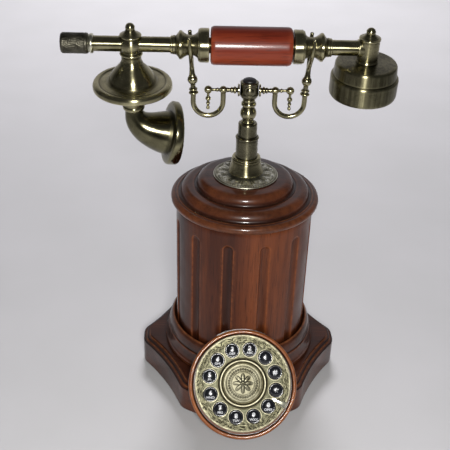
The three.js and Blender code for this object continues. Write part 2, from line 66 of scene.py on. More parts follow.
# ---- camera ----
AZIMUTH, ELEVATION, ROLL = math.radians(-2.2), math.radians(31.09), math.radians(1.78)
TARGET = Vector((-0.01588, 0.00061, 0.14716))
DISTANCE = 0.68307
back = Vector((
    math.sin(AZIMUTH) * math.cos(ELEVATION),
    -math.cos(AZIMUTH) * math.cos(ELEVATION),
    math.sin(ELEVATION),
))
level = Vector((math.cos(AZIMUTH), math.sin(AZIMUTH), 0))
rise = back.cross(level)
right = level * math.cos(ROLL) + rise * math.sin(ROLL)
upward = rise * math.cos(ROLL) - level * math.sin(ROLL)
camera_data = bpy.data.cameras.new("camera")
camera_data.lens, camera_data.sensor_width = 62.72, 36.0
camera = add("camera", camera_data)
turn = Matrix((right, upward, back)).transposed().to_4x4()
camera.matrix_world = Matrix.Translation(TARGET + back * DISTANCE) @ turn
scene.camera = camera

# ---- frames of reference, built on the CAD and on given offsets ----
UPRIGHT = Matrix.Identity(4)


def middle(node):
    low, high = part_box(node)
    return (low + high) / 2


def shift(x, y, z):
    return Matrix.Translation((x * MM, y * MM, z * MM))


FACE_OVER_KEYS, FACE_UP = 1.138, 0.104
HANDSET_ROLL = math.radians(6.5)
BELL_X, EAR_X = -92, 90.5
ARM_HEIGHT = 272

press = next(j for j in frame["joints"] if j["name"] == "press_1")
normal = -Vector(press["axis"]).normalized()
climb = normal.cross(Vector((1, 0, 0)))
key_middle = (middle("key_2") + middle("key_8")) / 2
face_centre = key_middle + normal * FACE_OVER_KEYS * MM + climb * FACE_UP * MM
face_turn = Matrix((Vector((1, 0, 0)), climb, normal)).transposed().to_4x4()
FACE = Matrix.Translation(face_centre) @ face_turn
RING = FACE @ shift(0, -1, 0)

tube_middle = middle("handset_tube")
HANDSET = Matrix.Translation((0, 0, tube_middle.z)) @ Matrix.Rotation(HANDSET_ROLL, 4, "X")
ALONG_X = Matrix.Rotation(math.pi / 2, 4, "Y")
BELL = HANDSET @ shift(BELL_X, 0, 0)
EAR = HANDSET @ shift(EAR_X, 0, 0)
ARMS = shift(0, 0, ARM_HEIGHT)
HALF_TURN = Matrix.Rotation(math.pi, 4, "Z")


# ---- materials ----
class Paint:
    """A node material whose nodes are wired by short calls."""

    def __init__(self, name, turned=False, **sockets):
        self.turned = turned
        self.material = bpy.data.materials.new(name)
        self.material.use_nodes = True
        self.tree = self.material.node_tree
        self.shader = self.tree.nodes["Principled BSDF"]
        for socket, value in sockets.items():
            self.set(socket.replace("_", " "), value)

    def set(self, socket, value):
        """value is a number, a colour or another node's output."""
        self._put(self.shader.inputs[socket], value)

    def _put(self, slot, value):
        if isinstance(value, bpy.types.NodeSocket):
            self.tree.links.new(value, slot)
        elif isinstance(value, (tuple, list)) and len(value) == 3 and slot.type == "RGBA":
            slot.default_value = (*value, 1)
        else:
            slot.default_value = value

    def node(self, kind, output=0, props=None, **inputs):
        made = self.tree.nodes.new("ShaderNode" + kind)
        for key, value in (props or {}).items():
            setattr(made, key, value)
        for key, value in inputs.items():
            slot = made.inputs[int(key[1:])] if key[0] == "i" and key[1:].isdigit() else made.inputs[key]
            self._put(slot, value)
        return made.outputs[output]

    def math(self, operation, a, b=0.0):
        return self.node("Math", props={"operation": operation}, i0=a, i1=b)

    def place(self, stretch=(1, 1, 1)):
        """The object's coordinates, or the piece's own turning frame when the piece keeps one."""
        spot = self.node("Attribute", "Vector", props={"attribute_name": "spot"}) if self.turned else (
            self.node("TexCoord", "Object"))
        return self.node("Mapping", Vector=spot, Scale=stretch)

    def noise(self, vector, scale, detail=3.0, roughness=0.5, distortion=0.0):
        return self.node("TexNoise", Vector=vector, Scale=scale, Detail=detail, Roughness=roughness,
                         Distortion=distortion)

    def ramp(self, fac, *stops):
        made = self.tree.nodes.new("ShaderNodeValToRGB")
        band = made.color_ramp
        while len(band.elements) < len(stops):
            band.elements.new(0.5)
        for element, (spot, value) in zip(band.elements, stops):
            element.position = spot
            colour = (value,) * 3 if isinstance(value, (int, float)) else value
            element.color = (*colour, 1)
        self.tree.links.new(fac, made.inputs[0])
        return made.outputs[0]

    def mix(self, fac, a, b, blend="MIX"):
        made = self.tree.nodes.new("ShaderNodeMix")
        made.data_type, made.blend_type = "RGBA", blend
        for index, value in ((0, fac), (6, a), (7, b)):
            self._put(made.inputs[index], value)
        return made.outputs[2]

    def attribute(self, name):
        return self.node("Attribute", "Fac", props={"attribute_name": name})

    def bump(self, height, distance, strength=1.0):
        self.set("Normal", self.node("Bump", Height=height, Distance=distance, Strength=strength))

    def ambient_shade(self, distance, samples=4):
        """Ambient occlusion, the shade that falls in recesses: 1 in the open, falling towards 0 deep in a
        recess.
        """
        return self.node("AmbientOcclusion", "AO", props={"samples": samples}, Distance=distance)

    def rings(self, wander=0.002):
        """Coordinates that run round the piece's own Z, so a noise in them becomes fine turning lines."""
        spot = self.node("SeparateXYZ", Vector=self.place())
        x, y, z = (spot.node.outputs[i] for i in range(3))
        squares = self.math("ADD", self.math("MULTIPLY", x, x), self.math("MULTIPLY", y, y))
        radius = self.math("SQRT", squares)
        angle = self.math("MULTIPLY", self.math("ARCTAN2", y, x), wander)
        return self.node("CombineXYZ", X=radius, Y=angle, Z=z)


def wood(name, grain, dark, mid, light, edge, gloss=0.1, coat=0.3):
    """Lacquered open-pored wood whose grain runs along the given axis of the piece, darker in the hollows of
    its profile and with painted shade in its recesses.
    """
    paint = Paint(name, turned=True, Specular_IOR_Level=0.2, Coat_Weight=coat, Coat_Roughness=gloss)
    stretch = [1.0, 1.0, 1.0]
    stretch["XYZ".index(grain)] = 0.07
    along = paint.place(stretch)
    figure = paint.noise(along, 42, detail=5, roughness=0.6, distortion=0.7)
    bands = paint.noise(along, 170, detail=4, roughness=0.65, distortion=0.25)
    broad = paint.noise(along, 13, detail=2, distortion=0.4)
    tone = paint.math("ADD", paint.math("MULTIPLY", figure, 0.36), paint.math("MULTIPLY", bands, 0.16))
    tone = paint.math("ADD", tone, paint.math("MULTIPLY", broad, 0.48))
    colour = paint.ramp(tone, (0.38, dark), (0.5, mid), (0.62, light))
    stretch["XYZ".index(grain)] = 0.035
    pores = paint.ramp(paint.noise(paint.place(stretch), 1500, detail=2), (0.33, 1.0), (0.43, 0.0))
    colour = paint.mix(paint.math("MULTIPLY", pores, 0.55), colour, tuple(c * 0.35 for c in dark))
    scuffs = paint.ramp(paint.noise(paint.place(), 260, detail=4), (0.35, 0.35), (0.65, 1.0))
    worn = paint.math("MULTIPLY", paint.attribute("wear"), scuffs)
    colour = paint.mix(worn, colour, edge)
    # Darker in the hollows of the profile.
    colour = paint.mix(paint.attribute("hollow_darkening"), colour, tuple(c * 0.3 for c in dark))
    # Painted shade: ambient occlusion multiplies the colour darker in recesses and where parts meet.
    painted_shade = paint.ramp(paint.ambient_shade(0.007), (0.25, 0.45), (0.85, 1.0))
    colour = paint.mix(1.0, colour, painted_shade, "MULTIPLY")
    paint.set("Base Color", colour)
    smear = paint.noise(paint.place(), 55, detail=3)
    paint.set("Roughness", paint.ramp(smear, (0.3, 0.3), (0.7, 0.46)))
    ripple = paint.noise(along, 320, detail=2)
    height = paint.math("SUBTRACT", paint.math("MULTIPLY", ripple, 0.25), paint.math("MULTIPLY", pores, 0.5))
    paint.bump(height, 0.00006, 0.7)
    return paint.material


def metal(name, bright, dull, dirt_and_shade, rough=(0.24, 0.4), brushed=True, pitted=0.0, aniso=0.8, streaks=0.0):
    """Aged brass: turning lines, cloudy patina, dirt specks, darkening in the hollows with painted shade from
    ambient occlusion in the recesses, and polish on the edges.
    """
    paint = Paint(name, turned=brushed, Metallic=1.0)
    clouds = paint.noise(paint.place(), 95, detail=6, roughness=0.62, distortion=0.5)
    colour = paint.ramp(clouds, (0.34, dull), (0.6, bright))
    specks = paint.ramp(paint.noise(paint.place(), 900, detail=3), (0.6, 0.0), (0.72, 1.0))
    colour = paint.mix(paint.math("MULTIPLY", specks, 0.35), colour, dirt_and_shade)
    # Painted shade: ambient occlusion darkens the recesses and the places where parts meet, together with the
    # darkening in the profile's hollows, towards the dark dirt colour.
    occluded = paint.ramp(paint.ambient_shade(0.0035), (0.3, 1.0), (0.8, 0.0))
    hollow_darkening = paint.math("MAXIMUM", paint.attribute("hollow_darkening"), paint.math("MULTIPLY", occluded, 0.75))
    hollow_darkening = paint.math("MULTIPLY", hollow_darkening, paint.ramp(clouds, (0.3, 1.0), (0.7, 0.7)))
    colour = paint.mix(hollow_darkening, colour, dirt_and_shade)
    if streaks:
        upright = paint.noise(paint.place((1, 1, 0.02)), 420, detail=4, roughness=0.7)
        upright = paint.ramp(upright, (0.36, 1 - streaks), (0.64, 1.0))
        colour = paint.mix(1.0, colour, upright, "MULTIPLY")
    polished = tuple(min(1, c * 1.6) for c in bright)
    colour = paint.mix(paint.math("MULTIPLY", paint.attribute("wear"), 0.6), colour, polished)
    paint.set("Base Color", colour)
    lines = paint.noise(paint.rings() if brushed else paint.place(), 2300 if brushed else 1100, detail=2)
    smudge = paint.math("ADD", paint.math("MULTIPLY", clouds, 0.6), paint.math("MULTIPLY", lines, 0.4))
    rough_map = paint.ramp(smudge, (0.35, rough[0]), (0.65, rough[1]))
    paint.set("Roughness", paint.math("ADD", rough_map, paint.math("MULTIPLY", hollow_darkening, 0.25)))
    height = paint.math("MULTIPLY", lines, 0.08)
    if pitted:
        pits = paint.ramp(paint.noise(paint.place(), 520, detail=5, roughness=0.7), (0.4, 0.0), (0.62, 1.0))
        height = paint.math("ADD", height, paint.math("MULTIPLY", pits, pitted))
    paint.bump(height, 0.00006, 0.5)
    if brushed:
        paint.set("Anisotropic", aniso)
        paint.set("Anisotropic Rotation", 0.25)
        paint.set("Tangent", paint.node("Attribute", "Vector", props={"attribute_name": "around"}))
    return paint.material


def plastic(name, colour, dust, rough, gloss=0.5, grain=0.00003, coat=0.0):
    """Moulded plastic or rubber with a fine skin, faint clouding and dust in its corners."""
    paint = Paint(name, Specular_IOR_Level=gloss, Coat_Weight=coat, Coat_Roughness=0.06)
    clouds = paint.noise(paint.place(), 120, detail=4)
    faded = tuple(min(0.9, c * 1.7) for c in colour)
    tone = paint.mix(paint.ramp(clouds, (0.35, 0.0), (0.75, 0.6)), colour, faded)
    occluded = paint.ramp(paint.ambient_shade(0.0025), (0.35, 0.6), (0.8, 0.0))
    paint.set("Base Color", paint.mix(occluded, tone, dust))
    paint.set("Roughness", paint.ramp(clouds, (0.3, rough), (0.75, rough + 0.12)))
    paint.bump(paint.noise(paint.place(), 2600, detail=2), grain, 0.5)
    return paint.material


def etched(name):
    """Brass sheet with an etched scroll border and a plainer field between the keys."""
    paint = Paint(name, turned=True, Metallic=1.0)
    rings = paint.rings(1.0)
    parts = paint.node("SeparateXYZ", Vector=rings).node.outputs
    radius = parts[0]
    warp = paint.node("TexNoise", "Color", Vector=paint.place(), Scale=150, Detail=2)
    bent = paint.node("VectorMath", props={"operation": "MULTIPLY_ADD"}, i0=warp, i1=(0.006, 0.006, 0.0),
                      i2=paint.place())
    scroll = paint.node("TexWave", "Color", props={"wave_type": "RINGS", "rings_direction": "Z"}, Vector=bent,
                        Scale=250, Distortion=13, Detail=3)
    curls = paint.node("TexVoronoi", "Distance", props={"feature": "SMOOTH_F1"}, Vector=bent, Scale=560)
    leaf = paint.math("MULTIPLY", scroll, paint.ramp(curls, (0.12, 1.0), (0.5, 0.2)))
    band = paint.ramp(radius, (0.0200, 0.25), (0.0318, 0.35), (0.0332, 1.0), (0.0398, 1.0), (0.0403, 0.0))
    figure = paint.math("MULTIPLY", paint.ramp(leaf, (0.1, 0.0), (0.36, 1.0)), band)
    clouds = paint.noise(paint.place(), 130, detail=5, roughness=0.65)
    field = paint.ramp(clouds, (0.32, (0.07, 0.071, 0.046)), (0.68, (0.155, 0.152, 0.098)))
    rubbed = paint.ramp(radius, (0.0325, 0.0), (0.0338, 0.75))
    field = paint.mix(rubbed, field, (0.165, 0.155, 0.095))
    engraved = paint.mix(paint.math("MULTIPLY", figure, 0.9), field, (0.010, 0.009, 0.006))
    # Painted shade: ambient occlusion darkens the plate in its recesses and where other parts sit close over
    # it, together with the darkening in hollows.
    occluded = paint.ramp(paint.ambient_shade(0.0022), (0.3, 1.0), (0.8, 0.0))
    colour = paint.mix(paint.math("MAXIMUM", occluded, paint.attribute("hollow_darkening")), engraved, (0.05, 0.042, 0.022))
    colour = paint.mix(paint.math("MULTIPLY", paint.attribute("wear"), 0.6), colour, (0.86, 0.80, 0.56))
    paint.set("Base Color", colour)
    lines = paint.noise(paint.rings(), 2600, detail=2)
    satin = paint.ramp(clouds, (0.3, 0.4), (0.7, 0.54))
    paint.set("Roughness", paint.math("ADD", satin, paint.math("MULTIPLY", figure, 0.15)))
    height = paint.math("SUBTRACT", paint.math("MULTIPLY", lines, 0.08), figure)
    paint.bump(height, 0.00016, 0.9)
    return paint.material


CASE = wood("mahogany_upright", "Z", (0.018, 0.0048, 0.0024), (0.062, 0.0145, 0.005),
            (0.160, 0.042, 0.0125), (0.24, 0.068, 0.020), coat=0.24)
CASE_FLAT = wood("mahogany_flat", "X", (0.018, 0.0052, 0.0028), (0.062, 0.0165, 0.0072),
                 (0.130, 0.037, 0.0145), (0.24, 0.080, 0.027), coat=0.46)
RIM = wood("mahogany_rim", "X", (0.085, 0.017, 0.003), (0.190, 0.046, 0.0085), (0.29, 0.084, 0.017),
           (0.42, 0.14, 0.034), gloss=0.07, coat=0.75)
GRIP = wood("grip_wood", "Z", (0.04, 0.005, 0.0035), (0.14, 0.018, 0.008), (0.26, 0.044, 0.015),
            (0.36, 0.08, 0.03), gloss=0.14, coat=0.34)
OLD_BRASS = ((0.40, 0.368, 0.222), (0.23, 0.21, 0.122), (0.035, 0.03, 0.016))
BRASS = metal("antique_brass", *OLD_BRASS, rough=(0.2, 0.28), aniso=0.85)
BRASS_TUBE = metal("antique_brass_bent", *OLD_BRASS, rough=(0.15, 0.23), brushed=False)
BLADE = metal("polished_brass", (0.72, 0.69, 0.52), (0.56, 0.53, 0.38), (0.05, 0.043, 0.024),
              rough=(0.2, 0.3), brushed=False)
# Shaded copies of the brass: the same metal painted darker for the receiver and the horn, standing in for the
# dark reflections on them.
SHADED_BRASS_TONES = ((0.24, 0.222, 0.132), (0.165, 0.152, 0.09), (0.022, 0.02, 0.011))
SHADED_BRASS = metal("shaded_brass", *SHADED_BRASS_TONES, rough=(0.26, 0.33), aniso=0.95, streaks=0.6)
SHADED_BRASS_TUBE = metal("shaded_brass_bent", (0.18, 0.166, 0.098), (0.1, 0.092, 0.055), SHADED_BRASS_TONES[2],
                  rough=(0.12, 0.2), brushed=False)
DARK = metal("dark_brass", (0.21, 0.195, 0.128), (0.12, 0.11, 0.072), (0.022, 0.02, 0.012),
             rough=(0.22, 0.32))
ROUGH = metal("pitted_brass", (0.125, 0.118, 0.09), (0.045, 0.042, 0.031), (0.016, 0.014, 0.011),
              rough=(0.3, 0.5), brushed=False, pitted=2.2)
CAST = metal("cast_brass", (0.36, 0.342, 0.24), (0.17, 0.157, 0.10), (0.035, 0.031, 0.02),
             rough=(0.26, 0.42), brushed=False, pitted=0.7)
# Lit copy of the cast brass: the same casting painted much brighter for the stem flange, standing in for the
# sparkling highlights on its relief.
CAST_LIT = metal("cast_brass_lit", (0.8, 0.78, 0.61), (0.56, 0.54, 0.39), (0.022, 0.02, 0.013),
                    rough=(0.24, 0.38), brushed=False, pitted=0.5)
PLATE = etched("etched_brass")
STEEL = metal("zinc_steel", (0.62, 0.62, 0.63), (0.42, 0.42, 0.43), (0.12, 0.11, 0.10), rough=(0.3, 0.45),
              brushed=False)
BLACK = plastic("black_plastic", (0.012, 0.012, 0.014), (0.05, 0.047, 0.045), 0.38)
KEY_BLACK = plastic("key_plastic", (0.008, 0.009, 0.012), (0.03, 0.03, 0.03), 0.14, coat=0.6)
LEGEND = plastic("legend_white", (0.74, 0.76, 0.80), (0.35, 0.35, 0.35), 0.4)
RUBBER = plastic("black_rubber", (0.018, 0.018, 0.018), (0.07, 0.065, 0.06), 0.72, gloss=0.3, grain=0.00006)
BOARD = plastic("circuit_board", (0.012, 0.085, 0.035), (0.05, 0.07, 0.05), 0.4)
GOLD = metal("contact_gold", (0.85, 0.62, 0.25), (0.6, 0.42, 0.16), (0.2, 0.14, 0.06), brushed=False)


# ---- mesh helpers ----
def arc(r, z, across, start, end, steps=10, tall=None):
    """Points of an ellipse's arc in a profile, its angles in degrees counted from outwards to up."""
    tall = across if tall is None else tall
    turns = np.radians(np.linspace(start, end, steps + 1))
    return [(r + across * math.cos(t), z + tall * math.sin(t), 0) for t in turns]


def ball(radius, centre, below, above, steps=14):
    """A ball's outline on the axis, from its lower neck to its upper neck."""
    start = -math.degrees(math.acos(below / radius))
    end = math.degrees(math.acos(above / radius))
    return arc(0, centre, radius, start, end, steps)


def rounded(profile, fillet, step, closed):
    """The profile with every corner filleted and every long run divided, as an array of [radius, z]."""
    corners = [(p[0], p[1], p[2] if len(p) > 2 else fillet) for p in profile]
    count = len(corners)
    made = []
    for i, (r, z, size) in enumerate(corners):
        here = np.array([r, z])
        ends = not closed and i in (0, count - 1)
        if ends or size == 0:
            made.append(here)
            continue
        before = np.array(corners[i - 1][:2]) - here
        after = np.array(corners[(i + 1) % count][:2]) - here
        reach = min(size, 0.45 * np.linalg.norm(before), 0.45 * np.linalg.norm(after))
        first = here + before / np.linalg.norm(before) * reach
        last = here + after / np.linalg.norm(after) * reach
        for t in np.linspace(0, 1, 5):
            made.append((1 - t) ** 2 * first + 2 * t * (1 - t) * here + t * t * last)
    if closed:
        made.append(made[0])
    points = [made[0]]
    for target in made[1:]:
        gap = np.linalg.norm(target - points[-1])
        if gap < 1e-6:
            continue
        pieces = max(1, math.ceil(gap / step))
        start = points[-1]
        points.extend(start + (target - start) * k / pieces for k in range(1, pieces + 1))
    points = np.array(points)
    return points[:-1] if closed else points


def edge_marks(points, closed, spread=0.55):
    """How convex and how hollow the outline is at each point, from 0 to 1."""
    run = np.roll(points, -1, 0) - points
    lengths = np.maximum(np.linalg.norm(run, axis=1), 1e-9)
    heading = np.unwrap(np.arctan2(run[:, 1], run[:, 0]))
    bend = np.zeros(len(points))
    bend[1:] = heading[1:] - heading[:-1]
    bend[0] = (heading[0] - heading[-1] + math.pi) % (2 * math.pi) - math.pi if closed else 0
    if not closed:
        bend[-1] = 0
    place = np.concatenate([[0], np.cumsum(lengths[:-1])])
    near = np.exp(-0.5 * ((place[:, None] - place[None]) / spread) ** 2)
    turning = (near @ bend) / 1.2
    return np.clip(turning, 0, 1), np.clip(-turning * 1.1, 0, 1)


def build(name, vertices, faces, marks=None, smooth=True):
    """A mesh object from points in millimetres."""
    mesh = bpy.data.meshes.new(name)
    mesh.from_pydata((np.asarray(vertices) * MM).tolist(), [], faces)
    for key, values in (marks or {}).items():
        mesh.attributes.new(key, "FLOAT", "POINT").data.foreach_set("value", np.asarray(values, np.float32))
    mesh.polygons.foreach_set("use_smooth", [smooth] * len(mesh.polygons))
    return add(name, mesh)


def circle_angles(sides):
    return np.linspace(0, 2 * math.pi, sides, endpoint=False)


def sheet_faces(rows, columns, wrap_rows, wrap_columns):
    """Quads over a grid of points, wrapped where asked."""
    r = np.arange(rows if wrap_rows else rows - 1)
    c = np.arange(columns if wrap_columns else columns - 1)
    rr, cc = (a.ravel() for a in np.meshgrid(r, c, indexing="ij"))
    up, over = (rr + 1) % rows, (cc + 1) % columns
    return np.stack([rr * columns + cc, rr * columns + over, up * columns + over, up * columns + cc], 1)


def weld(made, distance=1e-6):
    """Merges doubled points, such as the ring of points on an axis, and points the faces outwards."""
    work = bmesh.new()
    work.from_mesh(made.data)
    bmesh.ops.remove_doubles(work, verts=work.verts, dist=distance)
    bmesh.ops.recalc_face_normals(work, faces=work.faces)
    work.to_mesh(made.data)
    work.free()
    made.data.polygons.foreach_set("use_smooth", [True] * len(made.data.polygons))
    return made


def skin(name, grid, wear=None, hollow_darkening=None, ring=False):
    """A closed skin over rows of points that go round the piece; a ring's last row meets its first.

    wear and the darkening of the hollows hold a value for each row or for each point.
    """
    rows, columns = grid.shape[:2]
    marks = {}
    for key, values in (("wear", wear), ("hollow_darkening", hollow_darkening)):
        if values is not None:
            marks[key] = np.broadcast_to(np.reshape(values, (rows, -1)), (rows, columns)).ravel()
    faces = sheet_faces(rows, columns, ring, True).tolist()
    return weld(build(name, grid.reshape(-1, 3), faces, marks))


def lathe(name, profile, sides=96, fillet=0.35, step=1.4, relief=None):
    """A piece turned about its own Z; an outline that leaves the axis closes on itself."""
    closed = profile[-1][0] > 0 and profile[0][0] > 0
    outline = rounded(profile, fillet, step, closed)
    ring = np.vstack([outline, [[0, outline[-1, 1]], [0, outline[0, 1]]]]) if not closed else outline
    area = np.sum(ring[:, 0] * np.roll(ring[:, 1], -1) - np.roll(ring[:, 0], -1) * ring[:, 1])
    if area < 0:
        outline = outline[::-1].copy()
    wear, hollow_darkening = edge_marks(outline, closed)
    theta = circle_angles(sides)
    radius = np.repeat(outline[:, 0][:, None], sides, 1)
    z = np.repeat(outline[:, 1][:, None], sides, 1)
    if relief is not None:
        radius = radius + relief(theta[None], radius, z)
    grid = np.stack([radius * np.cos(theta), radius * np.sin(theta), z], -1)
    return skin(name, grid, wear, hollow_darkening, closed)


def sweep(name, path, radii, sides=20, steps=None):
    """A round bar along a smooth path, with a radius at each given point and closed, domed ends."""
    path = np.array(path, float)
    count = len(path)
    steps = steps or count * 8
    at = np.linspace(0, count - 1, steps)
    padded = np.vstack([2 * path[0] - path[1], path, 2 * path[-1] - path[-2]])
    points = []
    for t in at:
        i = min(int(t), count - 2)
        f = t - i
        a, b, c, d = padded[i : i + 4]
        points.append(0.5 * (2 * b + (c - a) * f + (2 * a - 5 * b + 4 * c - d) * f * f
                             + (3 * b - a - 3 * c + d) * f ** 3))
    points = np.array(points)
    width = np.interp(at, np.arange(count), radii)
    tangent = np.gradient(points, axis=0)
    tangent /= np.linalg.norm(tangent, axis=1)[:, None]
    side = np.cross(tangent[0], (0.3, 0.2, 0.9))
    rows, theta = [], circle_angles(sides)
    caps = [(0.0, -1.0), (0.5, -0.87), (0.87, -0.5)]
    for k, (p, w, t) in enumerate(zip(points, width, tangent)):
        side = side - t * (side @ t)
        side /= np.linalg.norm(side)
        other = np.cross(t, side)
        circle = np.outer(np.cos(theta), side) + np.outer(np.sin(theta), other)
        if k == 0:
            rows.extend(p + t * w * away * 0.6 + circle * w * size for size, away in caps)
        rows.append(p + circle * w)
        if k == steps - 1:
            rows.extend(p - t * w * away * 0.6 + circle * w * size for size, away in reversed(caps))
    return skin(name, np.array(rows))


def joined(name, *parts):
    """Several objects as one piece, each brought into the first one's frame."""
    bpy.context.view_layer.update()
    base = parts[0]
    work = bmesh.new()
    for part in parts:
        shell = part.data.copy()
        shell.transform(base.matrix_world.inverted() @ part.matrix_world)
        work.from_mesh(shell)
        bpy.data.meshes.remove(shell)
    work.to_mesh(base.data)
    work.free()
    base.data.polygons.foreach_set("use_smooth", [True] * len(base.data.polygons))
    for part in parts[1:]:
        bpy.data.objects.remove(part)
    base.name = base.data.name = name
    return base


def carve(made, *cutters):
    """Cuts the cutters out of a piece and removes them; the fresh edges stay crisp."""
    for cutter in cutters:
        step = made.modifiers.new("cut", "BOOLEAN")
        step.operation, step.solver, step.object = "DIFFERENCE", "EXACT", cutter
        bpy.context.view_layer.update()
        evaluated = made.evaluated_get(bpy.context.evaluated_depsgraph_get())
        fresh = bpy.data.meshes.new_from_object(evaluated)
        made.modifiers.remove(step)
        old, made.data = made.data, fresh
        bpy.data.meshes.remove(old)
        bpy.data.objects.remove(cutter)
    crisp(made)
    return made


def crisp(made, degrees=38):
    """Shading that stays smooth over gentle bends and breaks at real edges."""
    mesh = made.data
    mesh.polygons.foreach_set("use_smooth", [True] * len(mesh.polygons))
    work = bmesh.new()
    work.from_mesh(mesh)
    for edge in work.edges:
        edge.smooth = not (len(edge.link_faces) == 2 and edge.calc_face_angle(0) > math.radians(degrees))
    work.to_mesh(mesh)
    work.free()
    return made


def box(name, low, high, bevel=0.0):
    """A block between two corners in millimetres, with rounded edges where asked."""
    work = bmesh.new()
    bmesh.ops.create_cube(work, size=1)
    low, high = np.array(low, float), np.array(high, float)
    for vertex in work.verts:
        vertex.co = Vector((np.array(vertex.co) * (high - low) + (low + high) / 2) * MM)
    if bevel:
        edges = list(work.edges)
        bmesh.ops.bevel(work, geom=edges, offset=bevel * MM, segments=3, profile=0.5, affect="EDGES")
    mesh = bpy.data.meshes.new(name)
    work.to_mesh(mesh)
    work.free()
    return add(name, mesh)


def fit(made, body, material, nodes=(), place=None):
    """Puts a piece in place, paints it, ties it to its CAD body and hides the CAD nodes it stands for."""
    if place is not None:
        made.matrix_world = place @ made.matrix_world
    bpy.context.view_layer.update()
    mesh = made.data
    points = np.empty(len(mesh.vertices) * 3, np.float32)
    mesh.vertices.foreach_get("co", points)
    points = points.reshape(-1, 3)
    spin = np.column_stack([-points[:, 1], points[:, 0], np.full(len(points), 1e-7)])
    spin = (spin / np.linalg.norm(spin, axis=1)[:, None]) @ np.array(made.matrix_world.to_3x3()).T
    for key, values in (("spot", points), ("around", spin.astype(np.float32))):
        mesh.attributes.new(key, "FLOAT_VECTOR", "POINT").data.foreach_set("vector", values.ravel())
    mesh.transform(made.matrix_world)
    made.matrix_world = UPRIGHT
    made.data.materials.clear()
    made.data.materials.append(material)
    for name in ("wear", "hollow_darkening"):
        if name not in made.data.attributes:
            made.data.attributes.new(name, "FLOAT", "POINT")
    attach(made, body)
    if nodes:
        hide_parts(*nodes)
    return made


def turned(node, kind, body, material, slot, profile, place=None, **shape):
    """Turns the piece that stands for one CAD node and puts it in place."""
    return fit(lathe(f"{node}_{kind}", profile, **shape), body, material, [node], place)


# ---- plinth ----
BORE = 50
JACKS = ("line_jack", "handset_jack")
DRUM, DIAL_RING = 38, 46.1


def lobed_outline(inset, steps=14):
    """A hexagon with hollowed sides and blunt, rounded tips, all of it moved in by inset."""
    tip, half, tip_round, sag = 89.15 - inset, 9 - 0.3 * inset, 5.0, 3.0
    points = []

    def spot(angle, radial, sideways):
        c, s = math.cos(angle), math.sin(angle)
        return np.array([radial * c - sideways * s, radial * s + sideways * c])

    def curve(a, b, c):
        for t in np.linspace(0, 1, steps, endpoint=False):
            points.append((1 - t) ** 2 * a + 2 * t * (1 - t) * b + t * t * c)

    for lobe in range(6):
        here, there = math.radians(60 * lobe), math.radians(60 * (lobe + 1))
        corner, far = spot(here, tip, half), spot(there, tip, -half)
        dip = (corner + far) / 2
        dip = dip * (1 - 2 * sag / np.linalg.norm(dip))
        leave = corner + (dip - corner) * tip_round / np.linalg.norm(corner - dip)
        arrive = far + (dip - far) * tip_round / np.linalg.norm(far - dip)
        flat, next_flat = spot(here, tip, half - tip_round), spot(there, tip, tip_round - half)
        next_start = spot(there, tip, half - tip_round)
        curve(flat, corner, leave)
        curve(leave, dip, arrive)
        curve(arrive, far, next_flat)
        points.extend(next_flat + (next_start - next_flat) * t for t in np.linspace(0, 1, 6, endpoint=False))
    return np.array(points)


def drum_pocket(ring_gap=0.3):
    """The space that the dial's housing takes."""
    cutter = lathe("pocket", [
        (0, -26.3), (DRUM + ring_gap, -26.3), (DRUM + ring_gap, -9.8), (DIAL_RING + ring_gap, -9.8),
        (DIAL_RING + ring_gap, 30), (0, 30),
    ], sides=128, fillet=0, step=60)
    cutter.matrix_world = RING
    return cutter


def plinth():
    """The lobed block, its bore, the seat of the bottom cover and the windows of the two jacks."""
    low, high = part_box("plinth")
    base, top = low.z / MM, high.z / MM
    shelf, hollow, cover_seat = 72, 56, 62.3
    sill = base + 2.3
    edge = rounded([
        (0.7, base), (0, base + 0.8), (0, 26), (3.2, 26), (3.2, top - 2.8), (6.4, top - 2.8), (6.4, top),
    ], 0.9, 0.9, False)
    heading = np.gradient(edge, axis=0)
    bend = np.gradient(np.unwrap(np.arctan2(heading[:, 1], heading[:, 0])))
    rows, wear, hollow_darkening = [], [], []
    for (inset, z), turning in zip(edge, bend):
        outline = lobed_outline(inset)
        rows.append(np.column_stack([outline, np.full(len(outline), z)]))
        wear.append(min(1, max(0, turning * 2.2)))
        hollow_darkening.append(min(1, max(0, -turning * 2.2)))
    around = np.arctan2(rows[-1][:, 1], rows[-1][:, 0])
    for radius, z in (
        (shelf, top), (BORE, top), (BORE, 22), (hollow, 22), (hollow, sill), (cover_seat, sill),
        (cover_seat, base),
    ):
        circle = np.column_stack([radius * np.cos(around), radius * np.sin(around), np.full(len(around), z)])
        if radius == shelf:
            circle[:, :2] = (circle[:, :2] + rows[-1][:, :2]) / 2
        rows.append(circle)
        wear.append(0)
        # The bore, the hollow under the plinth and the cover seat are made darker.
        hollow_darkening.append(0.0 if radius == shelf else 0.4)
    made = skin("plinth_block", np.array(rows), wear, hollow_darkening, True)
    windows = []
    for jack in JACKS:
        a, b = (np.array(c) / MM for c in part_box(jack))
        windows.append(box("window", (a[0] - 0.3, 40, a[2] - 0.3), (b[0] + 0.3, 100, b[2] + 0.3)))
    return carve(made, drum_pocket(), *windows)


fit(plinth(), "base", CASE_FLAT, ["plinth"])


